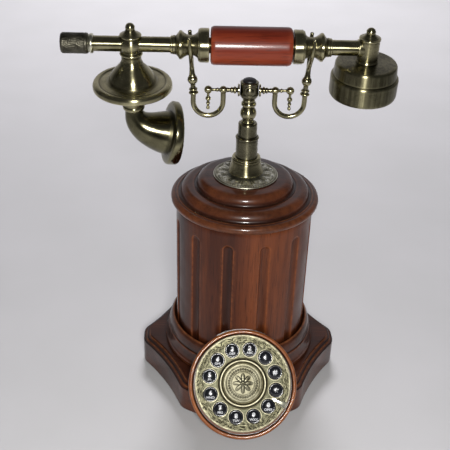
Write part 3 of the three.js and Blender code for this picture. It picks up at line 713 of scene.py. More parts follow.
# ---- column ----
def column():
    """The shaft, its flutes cut as round-bottomed grooves that end in a half dome."""
    low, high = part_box("column")
    base, top = low.z / MM, high.z / MM
    count, groove, depth, shaft, stop = 12, 5.4, 2.4, 58.0, 162.0
    spread, clear = 1.12, 9.0
    half = math.sqrt(groove ** 2 - (groove - depth) ** 2)
    period = 2 * math.pi / count
    inner = np.linspace(-half * spread, half * spread, 33) / shaft
    land = np.linspace(half * spread / shaft, period - half * spread / shaft, 10)[1:-1]
    cell = np.concatenate([inner, land])
    theta = np.concatenate([math.radians(15) + period * k + cell for k in range(count)])
    offset = np.tile(np.concatenate([inner, np.full(len(land), clear)]) * shaft, count)
    heights = np.concatenate([
        [base, base + 0.6],
        np.linspace(base + 6, stop - groove - 1, 22),
        np.linspace(stop - groove, stop + 0.6, 26),
        [stop + 2, stop + 6, top - 0.6, top],
    ])
    over = np.maximum(0, heights - (stop - groove))
    span = np.sqrt(offset[None] ** 2 + (over[:, None] * half / groove * spread) ** 2)
    dip = np.sqrt(np.maximum(groove ** 2 - span ** 2, 0)) - (groove - depth)
    dip = np.clip(dip, 0, None)
    lip = np.exp(-((span - half) / 0.55) ** 2)
    radius = shaft - dip - 0.12 * lip
    radius[0] -= 0.4
    radius[-1] -= 0.4
    level = np.repeat(heights[:, None], len(theta), 1)
    points = np.stack([radius * np.cos(theta), radius * np.sin(theta), level], -1)
    bore = np.stack([BORE * np.cos(theta), BORE * np.sin(theta), np.zeros_like(theta)], -1)
    grid = np.concatenate([points, [bore + [0, 0, top], bore + [0, 0, base]]])
    wear = np.concatenate([lip * 0.9, np.zeros((2, len(theta)))])
    # Darker towards the bottom of each flute.
    hollow_darkening = np.concatenate([np.clip(dip / depth, 0, 1) ** 2 * 0.35, np.zeros((2, len(theta)))])
    return carve(skin("column_shaft", grid, wear, hollow_darkening, True), drum_pocket())


fit(column(), "base", CASE, ["column"])

skirt_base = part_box("skirt_ring")[0].z / MM
skirt_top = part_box("skirt_ring")[1].z / MM
skirt = lathe("skirt_moulding", [
    (58.6, skirt_base), (68.5, skirt_base), (68.5, skirt_base + 3.4, 1.2), (67.3, skirt_base + 5.4, 1.2),
    (66.1, skirt_base + 9.5, 2), (65.6, skirt_base + 13.6, 0.6), (64.5, skirt_base + 14.5, 0.5),
    (64.3, skirt_base + 17.8, 1.5), (63.2, skirt_top - 2.8, 1.5), (61.4, skirt_top, 0.6),
    (60.4, skirt_top, 0.6), (59.4, skirt_top - 2.2, 0.6), (58.6, skirt_top - 3.0),
], sides=192, fillet=0.6)
fit(carve(skirt, drum_pocket()), "base", CASE_FLAT, ["skirt_ring"])

turned("column_cap", "turning", "base", CASE_FLAT, "case_wood", [
    (4, 168.8), (49.7, 168.8), (49.7, 174.8), (57.5, 174.8), *arc(59.0, 178.3, 3.5, -80, 102, 16),
    (57.4, 182.3, 0.5), (55.8, 181.7, 0.3), (54.5, 182.2, 0.3), *arc(47.6, 182.8, 6.3, 4, 92, 16, 6.3),
    (43.6, 189.2, 0.4), (42.2, 188.7, 0.3), (41.0, 189.4, 0.3), *arc(33.6, 190.6, 6.8, 2, 88, 16, 6.4),
    (28.6, 197.3), (4, 197.3),
], sides=192)

cover_low, cover_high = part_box("bottom_cover")
turned("bottom_cover", "disc", "base", BLACK, "black_plastic", [
    (0, cover_low.z / MM), (62, cover_low.z / MM), (62, cover_high.z / MM), (0, cover_high.z / MM),
], sides=128)
for number in (1, 2, 3, 4):
    low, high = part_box(f"foot_{number}")
    spot = (low + high) / 2
    foot = lathe(f"rubber_foot_{number}", [
        (0, 0), (6.0, 0), (6.9, 0.8), (6.5, 1.5), (0, 1.5),
    ], sides=40, fillet=0.3)
    fit(foot, "base", RUBBER, [f"foot_{number}"], Matrix.Translation((spot.x, spot.y, low.z)))

# ---- stem ----
flange_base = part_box("stem_flange")[0].z / MM


def flange_relief(r, theta):
    """Twelve leaves with veins, a smaller leaf between each pair, and a beaded edge."""
    leaf = np.cos(6 * theta) ** 2
    body = np.exp(-((r - 19.2) / 3.4) ** 2) * leaf ** 1.4
    vein = np.exp(-(np.sin(6 * theta) / 0.16) ** 2) * np.exp(-((r - 19) / 3.6) ** 2)
    small = np.exp(-((r - 22.6) / 1.5) ** 2) * np.sin(6 * theta) ** 4
    ribs = 0.5 + 0.5 * np.cos(30 * theta + 0.9 * r)
    beads = np.exp(-((r - 25.2) / 0.55) ** 2) * (0.4 + 0.6 * np.cos(36 * theta) ** 2)
    lace = np.clip(np.cos(24 * theta + 1.9 * r) * np.cos(24 * theta - 1.9 * r), 0, 1)
    lace = lace * np.exp(-((r - 19.5) / 4.2) ** 4)
    leaves = 1.5 * body * (0.6 + 0.4 * ribs) - 0.9 * vein
    return np.clip(leaves + 1.35 * small + beads + 0.6 * lace, 0, 1.75)


def relief_disc(name, rows, sides, back_z, edge, relief, shade=0.55):
    """A disc whose upper face carries a relief over rows of [radius, height], from the axis outwards.

    shade is how much darker the ground of the relief is made.
    """
    theta = circle_angles(sides)
    grid, hollow_darkening, wear = [], [], []
    for r, z in rows:
        lift = relief(np.full(sides, float(r)), theta) if r > 0 else np.zeros(sides)
        grid.append(np.column_stack([r * np.cos(theta), r * np.sin(theta), z + lift]))
        # The ground of the relief is made darker where it lies low.
        hollow_darkening.append(np.clip(shade - lift * 1.4, 0, 1) if r > 0 else np.zeros(sides))
        wear.append(np.clip(lift * 1.1 - 0.35, 0, 1))
    for r, z in edge + [(rows[0][0], back_z)]:
        grid.append(np.column_stack([r * np.cos(theta), r * np.sin(theta), np.full(sides, float(z))]))
        hollow_darkening.append(np.full(sides, 0.1))
        wear.append(np.full(sides, 0.2))
    return skin(name, np.array(grid), wear, hollow_darkening, rows[0][0] > 0)


flange = relief_disc(
    "stem_flange_casting",
    [(5, 2.0), (13.6, 1.6)] + [(r, 1.1 - 0.02 * (r - 14)) for r in np.linspace(14, 26.2, 52)], 432, 0.0,
    [(26.6, 0.95), (26.95, 0.7), (27, 0.4), (26.8, 0.05), (26.4, 0.0)], flange_relief, shade=0.95,
)
# The flange takes the lit copy of the cast brass.
fit(flange, "base", CAST_LIT, ["stem_flange"], shift(0, 0, flange_base))

turned("stem_foot", "turning", "base", BRASS, "brass", [
    (7, 200.8), (14.3, 200.8), (14.5, 201.6), (14.0, 203.0, 0.8), (13.0, 206.6, 2), (12.1, 210.8, 1),
    (11.8, 211.6, 0.3), (12.1, 212.3, 0.4), (11.9, 213.0, 0.3), (11.4, 213.4, 0.3), (11.7, 214.2, 0.4),
    (11, 215), (7, 215),
], sides=96)
turned("stem_tube", "turning", "base", DARK, "dark_brass", [
    (7, 215.3), (9.2, 215.3), (9.0, 217, 0.6), (9.0, 230.6, 0.5), (9.6, 231.2, 0.5), (9.5, 232.4, 0.5),
    (8.6, 232.9, 0.4), (7.8, 233.2, 0.3), (7.7, 243.8), (7, 244.8), (2.8, 244.8), (2.8, 242.2),
    (6, 242.2), (6, 231.7), (7, 230.7),
], sides=96)

# ---- dial ----
housing = lathe("dial_ring", [
    (39.4, -1.7), (42.0, -1.7, 0.3), (42.3, -0.9, 0.4), *arc(43.93, -2.2, 2.0, 150, 10, 14, 2.2),
    (45.93, -2.6, 0.5), (45.93, -8.2, 1.2), (45.0, -9.5), (38, -9.5), (38, -26), (36, -26), (36, -12),
    (39.4, -12),
], sides=192, fillet=0.3)
housing.matrix_world = RING
ground = box("ground", (-70, face_centre.y / MM - 60, -60), (70, face_centre.y / MM + 60, 3.3))
carve(housing, ground)
fit(housing, "base", RIM, ["dial_housing"])

KEYS = ["2", "1", "hash", "star", "0", "9", "8", "7", "6", "5", "4", "3"]
FIRST_KEY, KEY_CIRCLE, KEY_HOLE = 11.4, 28.7, 6.35
STOP_BEARING = 117
key_spots = {}
for index, name in enumerate(KEYS):
    bearing = math.radians(FIRST_KEY + 30 * index)
    key_spots[name] = (KEY_CIRCLE * math.sin(bearing), KEY_CIRCLE * math.cos(bearing))


def dial_plate():
    """The face with its twelve holes, each with a raised rim."""
    made = lathe("dial_plate_sheet", [
        (0, -1.3), (40.9, -1.3), (40.9, 0.2), (40.4, 0.9, 0.5), (34.2, 0.9, 0.1), (33.9, 0.72, 0.1),
        (20.6, 0.72, 0.4), (20.0, 1.9, 0.5), *arc(18.9, 1.7, 0.95, 40, 150, 8, 0.9), (17.7, 1.2, 0.4),
        (17.3, 0.3), (0, 0.3),
    ], sides=192, fillet=0.2, step=1.6)
    cut = [(0, -6), (KEY_HOLE, -6), (KEY_HOLE, 6), (0, 6)]
    lip = [(KEY_HOLE, 0.5), (6.85, 0.6), (6.75, 0.82, 0.1), (KEY_HOLE, 0.78)]
    holes, rims = [], []
    for x, y in key_spots.values():
        holes.append(lathe("hole", cut, sides=64, fillet=0, step=20))
        rims.append(lathe("rim", lip, sides=64, fillet=0.03, step=0.5))
        for part in (holes[-1], rims[-1]):
            part.matrix_world = shift(x, y, 0)
    carve(made, *holes)
    plate = joined("dial_plate_sheet", made, *rims)
    return crisp(plate)


fit(dial_plate(), "base", PLATE, ["dial_plate"], FACE)


def rosette(r, theta):
    """An eight-petalled flower inside a rope ring and a ring of beads."""
    petals = np.abs(np.cos(4 * theta))
    flower = 0.75 * np.clip(1 - (r / (4.2 + 4.6 * petals)) ** 3, 0, 1) * (0.55 + 0.45 * petals)
    vein = 0.3 * np.exp(-(np.sin(4 * theta) / 0.12) ** 2) * np.exp(-((r - 5.4) / 2.2) ** 2)
    button = 0.55 * np.exp(-(r / 1.8) ** 4)
    beads = 0.42 * np.exp(-((r - 11.6) / 0.75) ** 2) * np.cos(18 * theta) ** 2
    rope = 0.3 * np.exp(-((r - 9.75) / 0.32) ** 2) * (0.7 + 0.3 * np.cos(40 * theta + 6 * r))
    rim = 0.35 * np.exp(-((r - 14.0) / 0.3) ** 2)
    return flower - vein + button + beads + rope + rim


medallion = relief_disc(
    "dial_medallion_relief", [(r, 1.15 - 0.0012 * r * r) for r in np.linspace(0, 15.4, 72)], 360, 0.6,
    [(16.0, 0.85), (16.3, 0.7), (16.4, 0.6)], rosette,
)
fit(medallion, "base", CAST, ["dial_medallion"], FACE)


def finger_stop():
    """A tapered blade, folded down at its outer end."""
    inner_end, length, corners = 27.6, 13.3, 6
    rows = []
    for t in np.linspace(0, 1, 15):
        along = inner_end + length * t
        half = 0.6 + 2.4 * t
        lift = 1.35 + 0.75 * math.sin(math.pi * min(t * 1.05, 1)) ** 0.8
        ring = [(-half, 0), (-half, 0.7), (-half * 0.85, 0.95), (half * 0.85, 0.95), (half, 0.7), (half, 0)]
        rows.append([(along, w, lift - 0.35 + h * 0.6) for w, h in ring])
    grid = np.array(rows)
    points = grid.reshape(-1, 3)
    faces = sheet_faces(len(grid), corners, False, True).tolist()
    faces += [list(range(corners))[::-1], list(range(len(points) - corners, len(points)))]
    return crisp(build("finger_stop_blade", points, faces, {"wear": np.ones(len(points))}))


blade_turn = Matrix.Rotation(math.radians(90 - STOP_BEARING), 4, "Z")
fit(finger_stop(), "base", BLADE, ["finger_stop"], FACE @ blade_turn)

# ---- keys ----
LETTERS = {
    "2": "ABC", "3": "DEF", "4": "GHI", "5": "JKL", "6": "MNO", "7": "PRS", "8": "TUV", "9": "WXY",
    "0": "OPER",
}
MARKS = {"hash": "#", "star": "*"}
LEGEND_DEPTH, LEGEND_SUNK = 0.12, 0.06
WIDE = 1.05


def dome(r):
    """The height of a key's crown at that radius."""
    return 3.62 - 0.036 * r * r - 0.0009 * r ** 4


def lettering(text, height, rise):
    """Flat letters of that cap height, a little widened, centred and moved up by rise."""
    curve = bpy.data.curves.new("text", "FONT")
    curve.body, curve.size, curve.align_x, curve.align_y = text, 1.0, "CENTER", "CENTER"
    curve.resolution_u = 4
    curve.offset = 0.03
    holder = add("text", curve)
    bpy.context.view_layer.update()
    mesh = bpy.data.meshes.new_from_object(holder.evaluated_get(bpy.context.evaluated_depsgraph_get()))
    bpy.data.objects.remove(holder)
    co = np.array([v.co for v in mesh.vertices])
    low, high = co.min(0), co.max(0)
    scale = height / max(high[1] - low[1], 1e-6)
    centre = (low + high) / 2
    for vertex in mesh.vertices:
        x, y = vertex.co.x - centre[0], vertex.co.y - centre[1]
        vertex.co = Vector((x * scale * WIDE, y * scale + rise, 0))
    return mesh


def settle_order(work):
    """Puts the faces in the order of their points, because an extrusion leaves them in no fixed order."""
    work.verts.index_update()
    ordered = sorted(work.faces, key=lambda face: sorted(vertex.index for vertex in face.verts))
    for rank, face in enumerate(ordered):
        face.index = rank
    work.faces.sort()


def legend(name):
    """The key's digit or sign with its letters below, laid on the dome."""
    work = bmesh.new()
    if name in LETTERS:
        parts = [lettering(name, 4.0, 1.3), lettering(LETTERS[name], 2.1, -2.55)]
    elif name in MARKS:
        parts = [lettering(MARKS[name], 4.4, 0)]
    else:
        parts = [lettering(name, 4.2, 0.3)]
    for part in parts:
        work.from_mesh(part)
        bpy.data.meshes.remove(part)
    bmesh.ops.triangulate(work, faces=work.faces)
    bmesh.ops.subdivide_edges(work, edges=work.edges, cuts=1)
    raised = bmesh.ops.extrude_face_region(work, geom=list(work.faces))
    for element in raised["geom"]:
        if isinstance(element, bmesh.types.BMVert):
            element.co.z = LEGEND_DEPTH
    bmesh.ops.recalc_face_normals(work, faces=work.faces)
    settle_order(work)
    for vertex in work.verts:
        reach = math.hypot(vertex.co.x, vertex.co.y)
        vertex.co = Vector((vertex.co.x, vertex.co.y, dome(reach) - LEGEND_SUNK + vertex.co.z)) * MM
    mesh = bpy.data.meshes.new(f"legend_{name}")
    work.to_mesh(mesh)
    work.free()
    return add(f"legend_{name}", mesh)


for name, (x, y) in key_spots.items():
    seat = FACE @ shift(x, y, 0)
    crown = [(r, dome(r), 0) for r in np.linspace(5.2, 0, 12)]
    button = lathe(f"button_{name}", [
        (0, -6.3), (3.4, -6.3), (6.9, -3.6), (6.9, -1.9), (6, -1.9), (6, 1.7, 0.5), (5.7, 2.2, 0.3), *crown,
    ], sides=64, fillet=0.25)
    fit(button, f"key_{name}_cap", KEY_BLACK, [f"key_{name}"], seat)
    fit(legend(name), f"key_{name}_cap", LEGEND, (), seat)

# ---- cradle ----
plunger = lathe("plunger_rod", [
    (0, 150.8), (1.6, 150.8), (2.4, 151.9), (2.4, 235.5), (5.2, 235.5), (5.2, 236.7), (2.4, 236.7),
    (2.4, 255), (0, 255),
], sides=48, fillet=0.2, step=4)
fit(plunger, "cradle", STEEL, ["hook_plunger"])
turned("cradle_baluster", "turning", "cradle", BRASS, "brass", [
    (2.7, 245.3), (5.3, 245.3), (5.4, 245.9, 0.3), (4.7, 246.6, 0.4), *ball(6.6, 252.8, 4.5, 4.6, 20),
    (4.7, 258.6, 0.5), (5.8, 259.4, 0.4), (6.1, 260.6, 0.6), (5.8, 261.9, 0.4), (4.9, 262.6, 0.4),
    (5, 264.6), (0, 264.6), (0, 255.4), (2.7, 255.4),
], sides=96)
head = lathe("cradle_head_turning", [
    (0, 265), (5, 265), (6.0, 266), (6.9, 267.2, 0.8), (7.4, 268.8, 0.8), (7.4, 269.6, 0.2),
    (7.15, 270.0, 0.2), (7.15, 277.2, 0.2), (7.4, 277.6, 0.2), (7.4, 278.7, 0.3), (6.8, 279.4),
    (0, 279.4),
], sides=96, fillet=0.3)
bosses = []
for way in (90, -90):
    boss = lathe("boss", [
        (0, 0), (4.3, 0), (4.3, 7.6), (3.9, 8.2, 0.4), *arc(0, 7.9, 3.5, 8, 90, 10, 1.75),
    ], sides=64, fillet=0.3)
    boss.matrix_world = shift(0, 0, 273.6) @ Matrix.Rotation(math.radians(way), 4, "X")
    bosses.append(boss)
fit(joined("cradle_head_block", head, *bosses), "cradle", DARK, ["cradle_head"])
cap_dome = lathe("head_cap_dome", [(0, 279.7), (5.4, 279.7), *arc(0, 280.0, 5.35, 4, 90, 12, 2.1)], sides=64)
fit(cap_dome, "cradle", BLACK, ["head_cap"])


def fork_and_arm(side, word):
    """One side's spindle with its pendant, and the bent tube, post and two prongs that hold the handset."""
    side_place = ARMS @ (HALF_TURN if side < 0 else UPRIGHT)
    bead, tip, post_x = 20.5, 32.4, 44.2
    spindle = lathe(f"arm_{word}_spindle", [
        (0, 7.7), (4.9, 7.7), (4.9, 9), (2, 9.4), (1.9, 10.2), *arc(1.9, 11.5, 1.0, -70, 70, 8),
        (1.8, 12.8), *arc(1.5, 13.8, 0.9, -60, 60, 6), (1.6, 15), (1.8, 17), *ball(3.1, bead, 1.8, 1.4),
        (1.15, 24.2), *arc(1.0, 25.4, 0.7, -60, 60, 6), (1.1, 26.8), (1.15, 28.6),
        *ball(3.2, tip, 1.3, 0),
    ], sides=40, fillet=0.2, step=0.8)
    spindle.matrix_world = ALONG_X
    drop = lathe("drop", [
        (0, -16.8), *arc(0.35, -15.0, 1.1, -85, 60, 8, 1.5), (0.9, -13.0),
        *arc(0.7, -11.2, 0.95, -60, 60, 8, 0.9), (0.9, -9.8), *arc(0.6, -7.3, 1.6, -62, 66, 10, 1.7),
        (1.0, -5.0), (1.2, -2), (0, -1),
    ], sides=28, fillet=0.2, step=0.6)
    drop.matrix_world = shift(tip, 0, 0)
    arm = joined(f"arm_{word}_spindle", spindle, drop)
    fit(arm, "cradle", BRASS, [f"arm_{word}"], side_place)

    bend = (post_x - bead) / 2
    turns = np.linspace(math.pi, 2 * math.pi, 13)
    bow = [(bead + bend + bend * math.cos(t), 0, bend * math.sin(t) - 10) for t in turns]
    tube_path = [(bead, 0, -1.5), (bead, 0, -5.5), *bow, (post_x, 0, -6.5), (post_x, 0, -3)]
    u_tube = sweep("tube", tube_path, [2.05] * len(tube_path), sides=28, steps=110)
    post = lathe("post", [
        (0, -4.2), (2.2, -4.2), (2.5, -3.7), *arc(2.3, -2.5, 1.6, -60, 60, 8, 1.0), (2.5, -1.3),
        (2.4, -0.5), *arc(2.1, 0.4, 1.3, -60, 60, 8, 0.9), (2.0, 1.5), (1.95, 4.2),
        *ball(4.0, 8.2, 1.95, 2.7, 16), (2.25, 13, 1), (1.9, 16.5, 1), (1.9, 18.2), (1.4, 19.6),
        (0, 20.2),
    ], sides=40, fillet=0.25, step=0.8)
    prongs = []
    for way in (1, -1):
        path = [
            (0, 0, 16.4), (0, way * 0.9, 19.6), (0, way * 3.4, 24), (0, way * 6.7, 28.6),
            (0, way * 8.9, 33), (0, way * 9.5, 38), (0, way * 9.4, 43.8),
        ]
        prongs.append(sweep("prong", path, [1.7, 1.75, 1.7, 1.65, 1.6, 1.55, 1.5], sides=20, steps=60))
    lean = shift(post_x, 0, 0) @ Matrix.Rotation(math.radians(4), 4, "Y")
    for part in (post, *prongs):
        part.matrix_world = lean
    fork = joined(f"fork_{word}_bar", u_tube, post, *prongs)
    fit(fork, "cradle", BRASS_TUBE, [f"fork_{word}"], side_place)


fork_and_arm(-1, "left")
fork_and_arm(1, "right")

# ---- handset ----
turned("handset_tube", "bar", "handset", BRASS, "brass", [
    (4.6, -128.8), (5.9, -128.8), (5.9, 87.5), (4.6, 87.5),
], HANDSET @ ALONG_X, sides=96, fillet=0.2, step=4)


def knurl(theta, radius, z):
    """Worn, uneven bumps over the knob's barrel, fading at its ends."""
    outer_end, inner_end, run_out, neck = -143.2, -125.8, 1.2, 7.0
    fade = np.clip((z - outer_end) / run_out, 0, 1) * np.clip((inner_end - z) / run_out, 0, 1)
    fade = fade * (radius > neck)
    waves = np.cos(17 * theta + 2.1 * z + 2 * np.sin(3 * theta + 0.7 * z))
    waves = waves * np.cos(11 * theta - 2.9 * z + 2 * np.cos(5 * theta - 0.5 * z))
    return fade * (0.16 * waves - 0.18)


turned("end_knob", "turning", "handset", ROUGH, "dark_brass", [
    (3.4, -144.8), (6.9, -144.8), (7.7, -144.0, 0.6), (7.98, -142.6, 1), (7.98, -125.3, 0.6),
    (7.2, -124.1, 0.4), (6.4, -124.0), (6.2, -129.1), (3.4, -129.1),
], HANDSET @ ALONG_X, sides=260, fillet=0.3, step=0.45, relief=knurl)
knob_ring = lathe("end_knob_collar", [
    (6.2, -123.9), (6.6, -123.9), (6.7, -123.2, 0.2), (7.4, -122.8, 0.4), (7.6, -121.8, 0.5),
    (7.4, -120.8, 0.4), (6.7, -120.2), (6.2, -120.2),
], sides=96, fillet=0.2)
fit(knob_ring, "handset", BLADE, (), HANDSET @ ALONG_X)


def finial(shoulder, centre):
    """A dished shoulder, a short cone and a ball, as far as the axis."""
    cone = [(7.2, shoulder, 0.5), (5.6, shoulder + 0.8, 1), (4.3, shoulder + 2.0, 0.8)]
    return [*cone, *ball(3.65, centre, 3.3, 0)]


turned("tee_left", "turning", "handset", BRASS, "brass", [
    (0, -6.1), (7.4, -6.1), *arc(0, 0, 8.9, -38, 34, 12, 9.3), (7.6, 5.9, 0.3), (8.3, 6.4, 0.3),
    (8.5, 7.0, 0.3), (8.3, 7.6, 0.4), *finial(8.1, 13.2),
], BELL, sides=96)
barrel = lathe("barrel", [
    (0, -10.7), (8.6, -10.7), (8.5, -10.0, 0.6), (8.1, -9.0, 0.6), (8.0, 6.9, 0.3), (8.4, 7.4, 0.3),
    (8.4, 8.7, 0.4), *finial(8.9, 13.1),
], sides=96)
collar = lathe("collar", [(0, -8.8), (6.7, -8.8), (7.0, -8.3), (7.0, 0), (0, 0)], sides=72)
collar.matrix_world = ALONG_X
fit(joined("tee_right_turning", barrel, collar), "handset", BRASS, ["tee_right"], EAR)

turned("transmitter_bell", "spinning", "handset", BRASS, "brass", [
    (8.5, -6.6), (8.9, -7.2, 0.4), (8.8, -8.3, 0.5), (7.9, -9.2, 0.4), (7.6, -10.4, 1), (7.9, -13.0, 2),
    (9.4, -16.6, 2), (12.2, -19.6, 2.5), (15.2, -22.8, 2.5), (17.5, -26.4, 2), (18.7, -30.3, 0.6),
    (20.2, -31.2, 0.5), (26.4, -31.7, 0.5), (27.0, -31.1, 0.3), (28.8, -31.0, 0.8), (30.6, -31.8, 0.8),
    (31.35, -33.4, 0.8), (31.35, -36.0, 0.5), (30.8, -36.6), (29.6, -36.6), (29.6, -33.4), (17.2, -32.2),
    (14.2, -26.0, 2), (10.2, -21.0, 2), (7.0, -16.2, 2), (6.2, -12), (6.2, -6.6),
], BELL, sides=192, fillet=0.4)
turned("transmitter_base", "turning", "handset", BRASS, "brass", [
    (4.6, -34.8), (29.2, -34.8), (29.2, -36.4), (13, -37.4, 1), (11, -39, 1.2), (8.8, -49.6, 1),
    (8.3, -51.8, 0.6), (8.8, -52.6, 0.4), (8.9, -54.4, 0.5), (7.6, -56), (4.6, -56),
], BELL, sides=160)


def horn():
    """A flared horn, turned straight and bent along its path, with a broad ring at its mouth."""
    start, knee, drop, reach = 56.3, 20.9, 26.1, 36.0
    throat, mouth, lip, wall = 6.8, 21, 26.4, 1.1

    def flare(t):
        return throat + (mouth - throat) * t ** 1.16

    outside = [(flare(t), t) for t in np.linspace(0, 0.865, 30)]
    ring = [
        (lip - 2.4, 0.870), (lip - 1.1, 0.875), (lip - 0.3, 0.885), (lip, 0.9), (lip, 0.95),
        (lip - 0.3, 0.975), (lip - 1.1, 0.992), (lip - 2.2, 1.0), (lip - 3.6, 1.0), (lip - 4.4, 0.992),
        (flare(0.95), 0.97), (flare(0.9) - 0.9, 0.9),
    ]
    inside = [(flare(t) - wall, t) for t in np.linspace(0.86, 0, 26)]
    outline = np.array(outside + ring + inside)
    sides = 144
    theta = circle_angles(sides)
    grid = []
    for r, t in outline:
        centre = np.array([t * t * reach, -2 * t * (1 - t) * knee - t * t * drop])
        heading = np.array([2 * t * reach, -2 * (1 - 2 * t) * knee - 2 * t * drop])
        heading /= np.linalg.norm(heading)
        across = r * np.cos(theta)
        grid.append(np.column_stack([
            centre[0] - heading[1] * across, r * np.sin(theta), centre[1] + heading[0] * across,
        ]))
    ring_start, ring_end = len(outside), len(outside) + len(ring)
    wear = np.zeros(len(outline))
    wear[ring_start:ring_end - 2] = 1.0
    hollow_darkening = np.zeros(len(outline))
    # Darker just before the ring and all over the inside of the horn.
    hollow_darkening[ring_start - 2:ring_start + 1] = 0.8
    hollow_darkening[ring_end:] = 0.45
    return skin("horn_spinning", np.array(grid), wear, hollow_darkening, True), -start


horn_mesh, horn_start = horn()
horn_place = BELL @ shift(0, 0, horn_start) @ Matrix.Rotation(math.radians(11), 4, "Z")
# The horn takes the shaded copy of the bent brass.
fit(crisp(horn_mesh, 50), "handset", SHADED_BRASS_TUBE, ["horn"], horn_place)

# The receiver takes the shaded copy of the brass.
turned("receiver_shell", "spinning", "handset", SHADED_BRASS, "brass", [
    (0, -12.8), (0, -11.1), (12, -11.2, 3), (22.2, -11.5, 1), (23.6, -11.9, 0.7), (24.2, -12.9, 0.7),
    (24.4, -14.4, 1), (25.0, -21.9, 0.3), (23.2, -21.9), (23.2, -12.9),
], EAR, sides=192)


def ear_cap():
    """The receiver's cap, pierced by a middle hole and two circles of holes."""
    made = lathe("receiver_cap_spinning", [
        (23.2, -22.2), (25.4, -22.2, 0.4), (26.4, -22.8, 0.6), (26.8, -24.0, 0.6), (26.8, -36.4, 1.2),
        (26.2, -38.6, 1.0), (24.4, -39.6, 0.8), (22, -39.6, 0.5), (19, -38.3, 1.5), (0, -37.9),
        (0, -36.4), (23.2, -36.4),
    ], sides=192)
    holes = [(0, 0)]
    for count, radius in ((6, 5.0), (12, 9.6)):
        angles = np.arange(count) * 2 * math.pi / count
        holes += zip(radius * np.cos(angles), radius * np.sin(angles))
    cutters = []
    for x, y in holes:
        cutter = lathe("hole", [(0, -42), (0.9, -42), (0.9, -34), (0, -34)], sides=20, fillet=0, step=20)
        cutter.matrix_world = shift(x, y, 0)
        cutters.append(cutter)
    return carve(made, joined("holes", *cutters))


# The receiver cap takes the shaded copy of the brass.
fit(ear_cap(), "handset", SHADED_BRASS, ["receiver_cap"], EAR)

FERRULE = [
    (6.2, 32.3), (12.7, 32.3), (13.05, 32.8, 0.3), (13.05, 38.9, 0.3), (12.5, 39.7, 0.5),
    (12.3, 40.5, 0.4), (9.6, 41.2, 0.8), (8.0, 43.2, 1.5), (7.4, 46.4, 2), (7.9, 49.2, 1.5),
    (9.2, 51.4, 1), (10.9, 53.2, 0.5), (11.0, 54.8, 0.5), (9.2, 56.0, 0.8), (7.3, 57.5, 0.4),
    (7.1, 58.2, 0.3), (7.4, 58.9, 0.3), (7.3, 59.6, 0.3), (6.8, 60.0, 0.2), (7.1, 60.6, 0.3),
    (7.0, 61.3, 0.3), (6.5, 61.8), (6.2, 61.8),
]
for word, way in (("right", UPRIGHT), ("left", HALF_TURN)):
    ferrule = lathe(f"ferrule_{word}_turning", FERRULE, sides=120)
    fit(ferrule, "handset", BRASS, [f"ferrule_{word}"], HANDSET @ way @ ALONG_X)
turned("grip", "turning", "handset", GRIP, "grip_wood", [
    (6.2, -31.2), (12.6, -31.2), (14.0, -30.4, 1.0), (14.7, -28.4, 1.6), (14.7, 28.4, 1.6),
    (14.0, 30.4, 1.0), (12.6, 31.2), (6.2, 31.2),
], HANDSET @ ALONG_X, sides=160, fillet=0.5, step=2)

# ---- CAD pieces that show as they are ----
for node, material, slot in (
    ("main_board", BOARD, "board"), ("dial_board", BOARD, "board"), ("key_mat", RUBBER, "rubber"),
    ("ringer", BLACK, "black_plastic"), ("line_jack", BLACK, "black_plastic"),
    ("handset_jack", BLACK, "black_plastic"),
    ("hook_switch", BLACK, "black_plastic"), ("switch_bracket", STEEL, "steel"),
    ("return_spring", STEEL, "steel"),
    ("transmitter_capsule", BLACK, "black_plastic"), ("receiver_capsule", BLACK, "black_plastic"),
):
    carried = frame["nodes"][node]
    for held in carried.material_slots:
        held.material = material

CONTACT = ((12, 9.9), (6, 9.2), (3.4, 7.4))
for jack in JACKS:
    low, high = (np.array(c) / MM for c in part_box(jack))
    centre, face = (low[0] + high[0]) / 2, high[1]
    wires = []
    for x in (-1.5, -0.5, 0.5, 1.5):
        route = [(centre + x, face - back_by, low[2] + up) for back_by, up in CONTACT]
        wires.append(sweep("wire", route, [0.22] * len(route), sides=10, steps=16))
    fit(joined(f"{jack}_contacts", *wires), "base", GOLD)

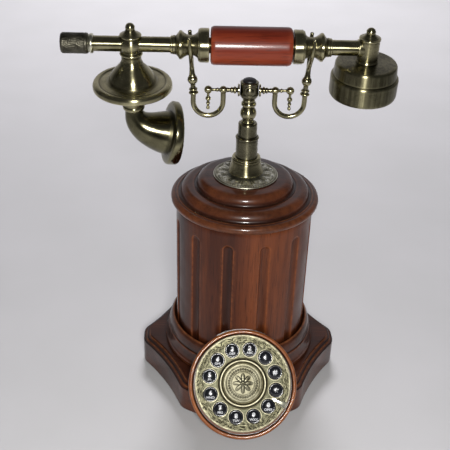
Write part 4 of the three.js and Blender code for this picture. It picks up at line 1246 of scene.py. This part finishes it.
# ---- stage ----
floor_paint = Paint("floor_paper", Specular_IOR_Level=0.25)
grainy = floor_paint.noise(floor_paint.place(), 9, detail=3)
floor_tone = floor_paint.ramp(grainy, (0.3, (0.505, 0.505, 0.51)), (0.7, (0.53, 0.528, 0.537)))
floor_paint.set("Base Color", floor_tone)
floor_paint.set("Roughness", floor_paint.ramp(grainy, (0.3, 0.6), (0.7, 0.75)))
floor = box("floor", (-4000, -4000, -20), (4000, 4000, 0))
floor.data.materials.append(floor_paint.material)

world = bpy.data.worlds.new("studio")
scene.world = world
world.use_nodes = True
air = world.node_tree
heading = air.nodes.new("ShaderNodeTexCoord").outputs["Generated"]
split = air.nodes.new("ShaderNodeSeparateXYZ")
air.links.new(heading, split.inputs[0])
fade = air.nodes.new("ShaderNodeValToRGB")
WORLD_STOPS = ((0.4, (0.075, 0.075, 0.077, 1)), (0.95, (0.72, 0.70, 0.74, 1)))
for stop, (spot, colour) in zip(fade.color_ramp.elements, WORLD_STOPS):
    stop.position, stop.color = spot, colour
air.links.new(split.outputs[1], fade.inputs[0])
air.links.new(fade.outputs[0], air.nodes["Background"].inputs["Color"])
air.nodes["Background"].inputs["Strength"].default_value = 0.8


def lamp(name, at, aim, size, power, colour, shines=True):
    """A round area lamp that the camera never sees; shines says whether it shows in the metal."""
    data = bpy.data.lights.new(name, "AREA")
    data.shape, data.size, data.energy, data.color = "DISK", size, power, colour
    made = add(name, data)
    made.location = at
    made.rotation_mode = "QUATERNION"
    made.rotation_quaternion = (Vector(aim) - Vector(at)).to_track_quat("-Z", "Y")
    made.visible_camera = False
    made.visible_glossy = shines
    return made


eye = TARGET + back * 0.70
lamp("key", eye + right * 0.03 - upward * 0.03, TARGET, 0.13, 4.4, (1, 0.985, 0.96))
wash = lamp("floor_wash", (0, 2.3, 2.6), (0, 1.2, 0), 1.2, 26, (0.985, 0.965, 1), False)
wash.data.spread = math.radians(76)
only_floor = bpy.data.collections.new("lit_by_wash")
only_floor.objects.link(floor)
wash.light_linking.receiver_collection = only_floor
scene.view_settings.view_transform = "Standard"
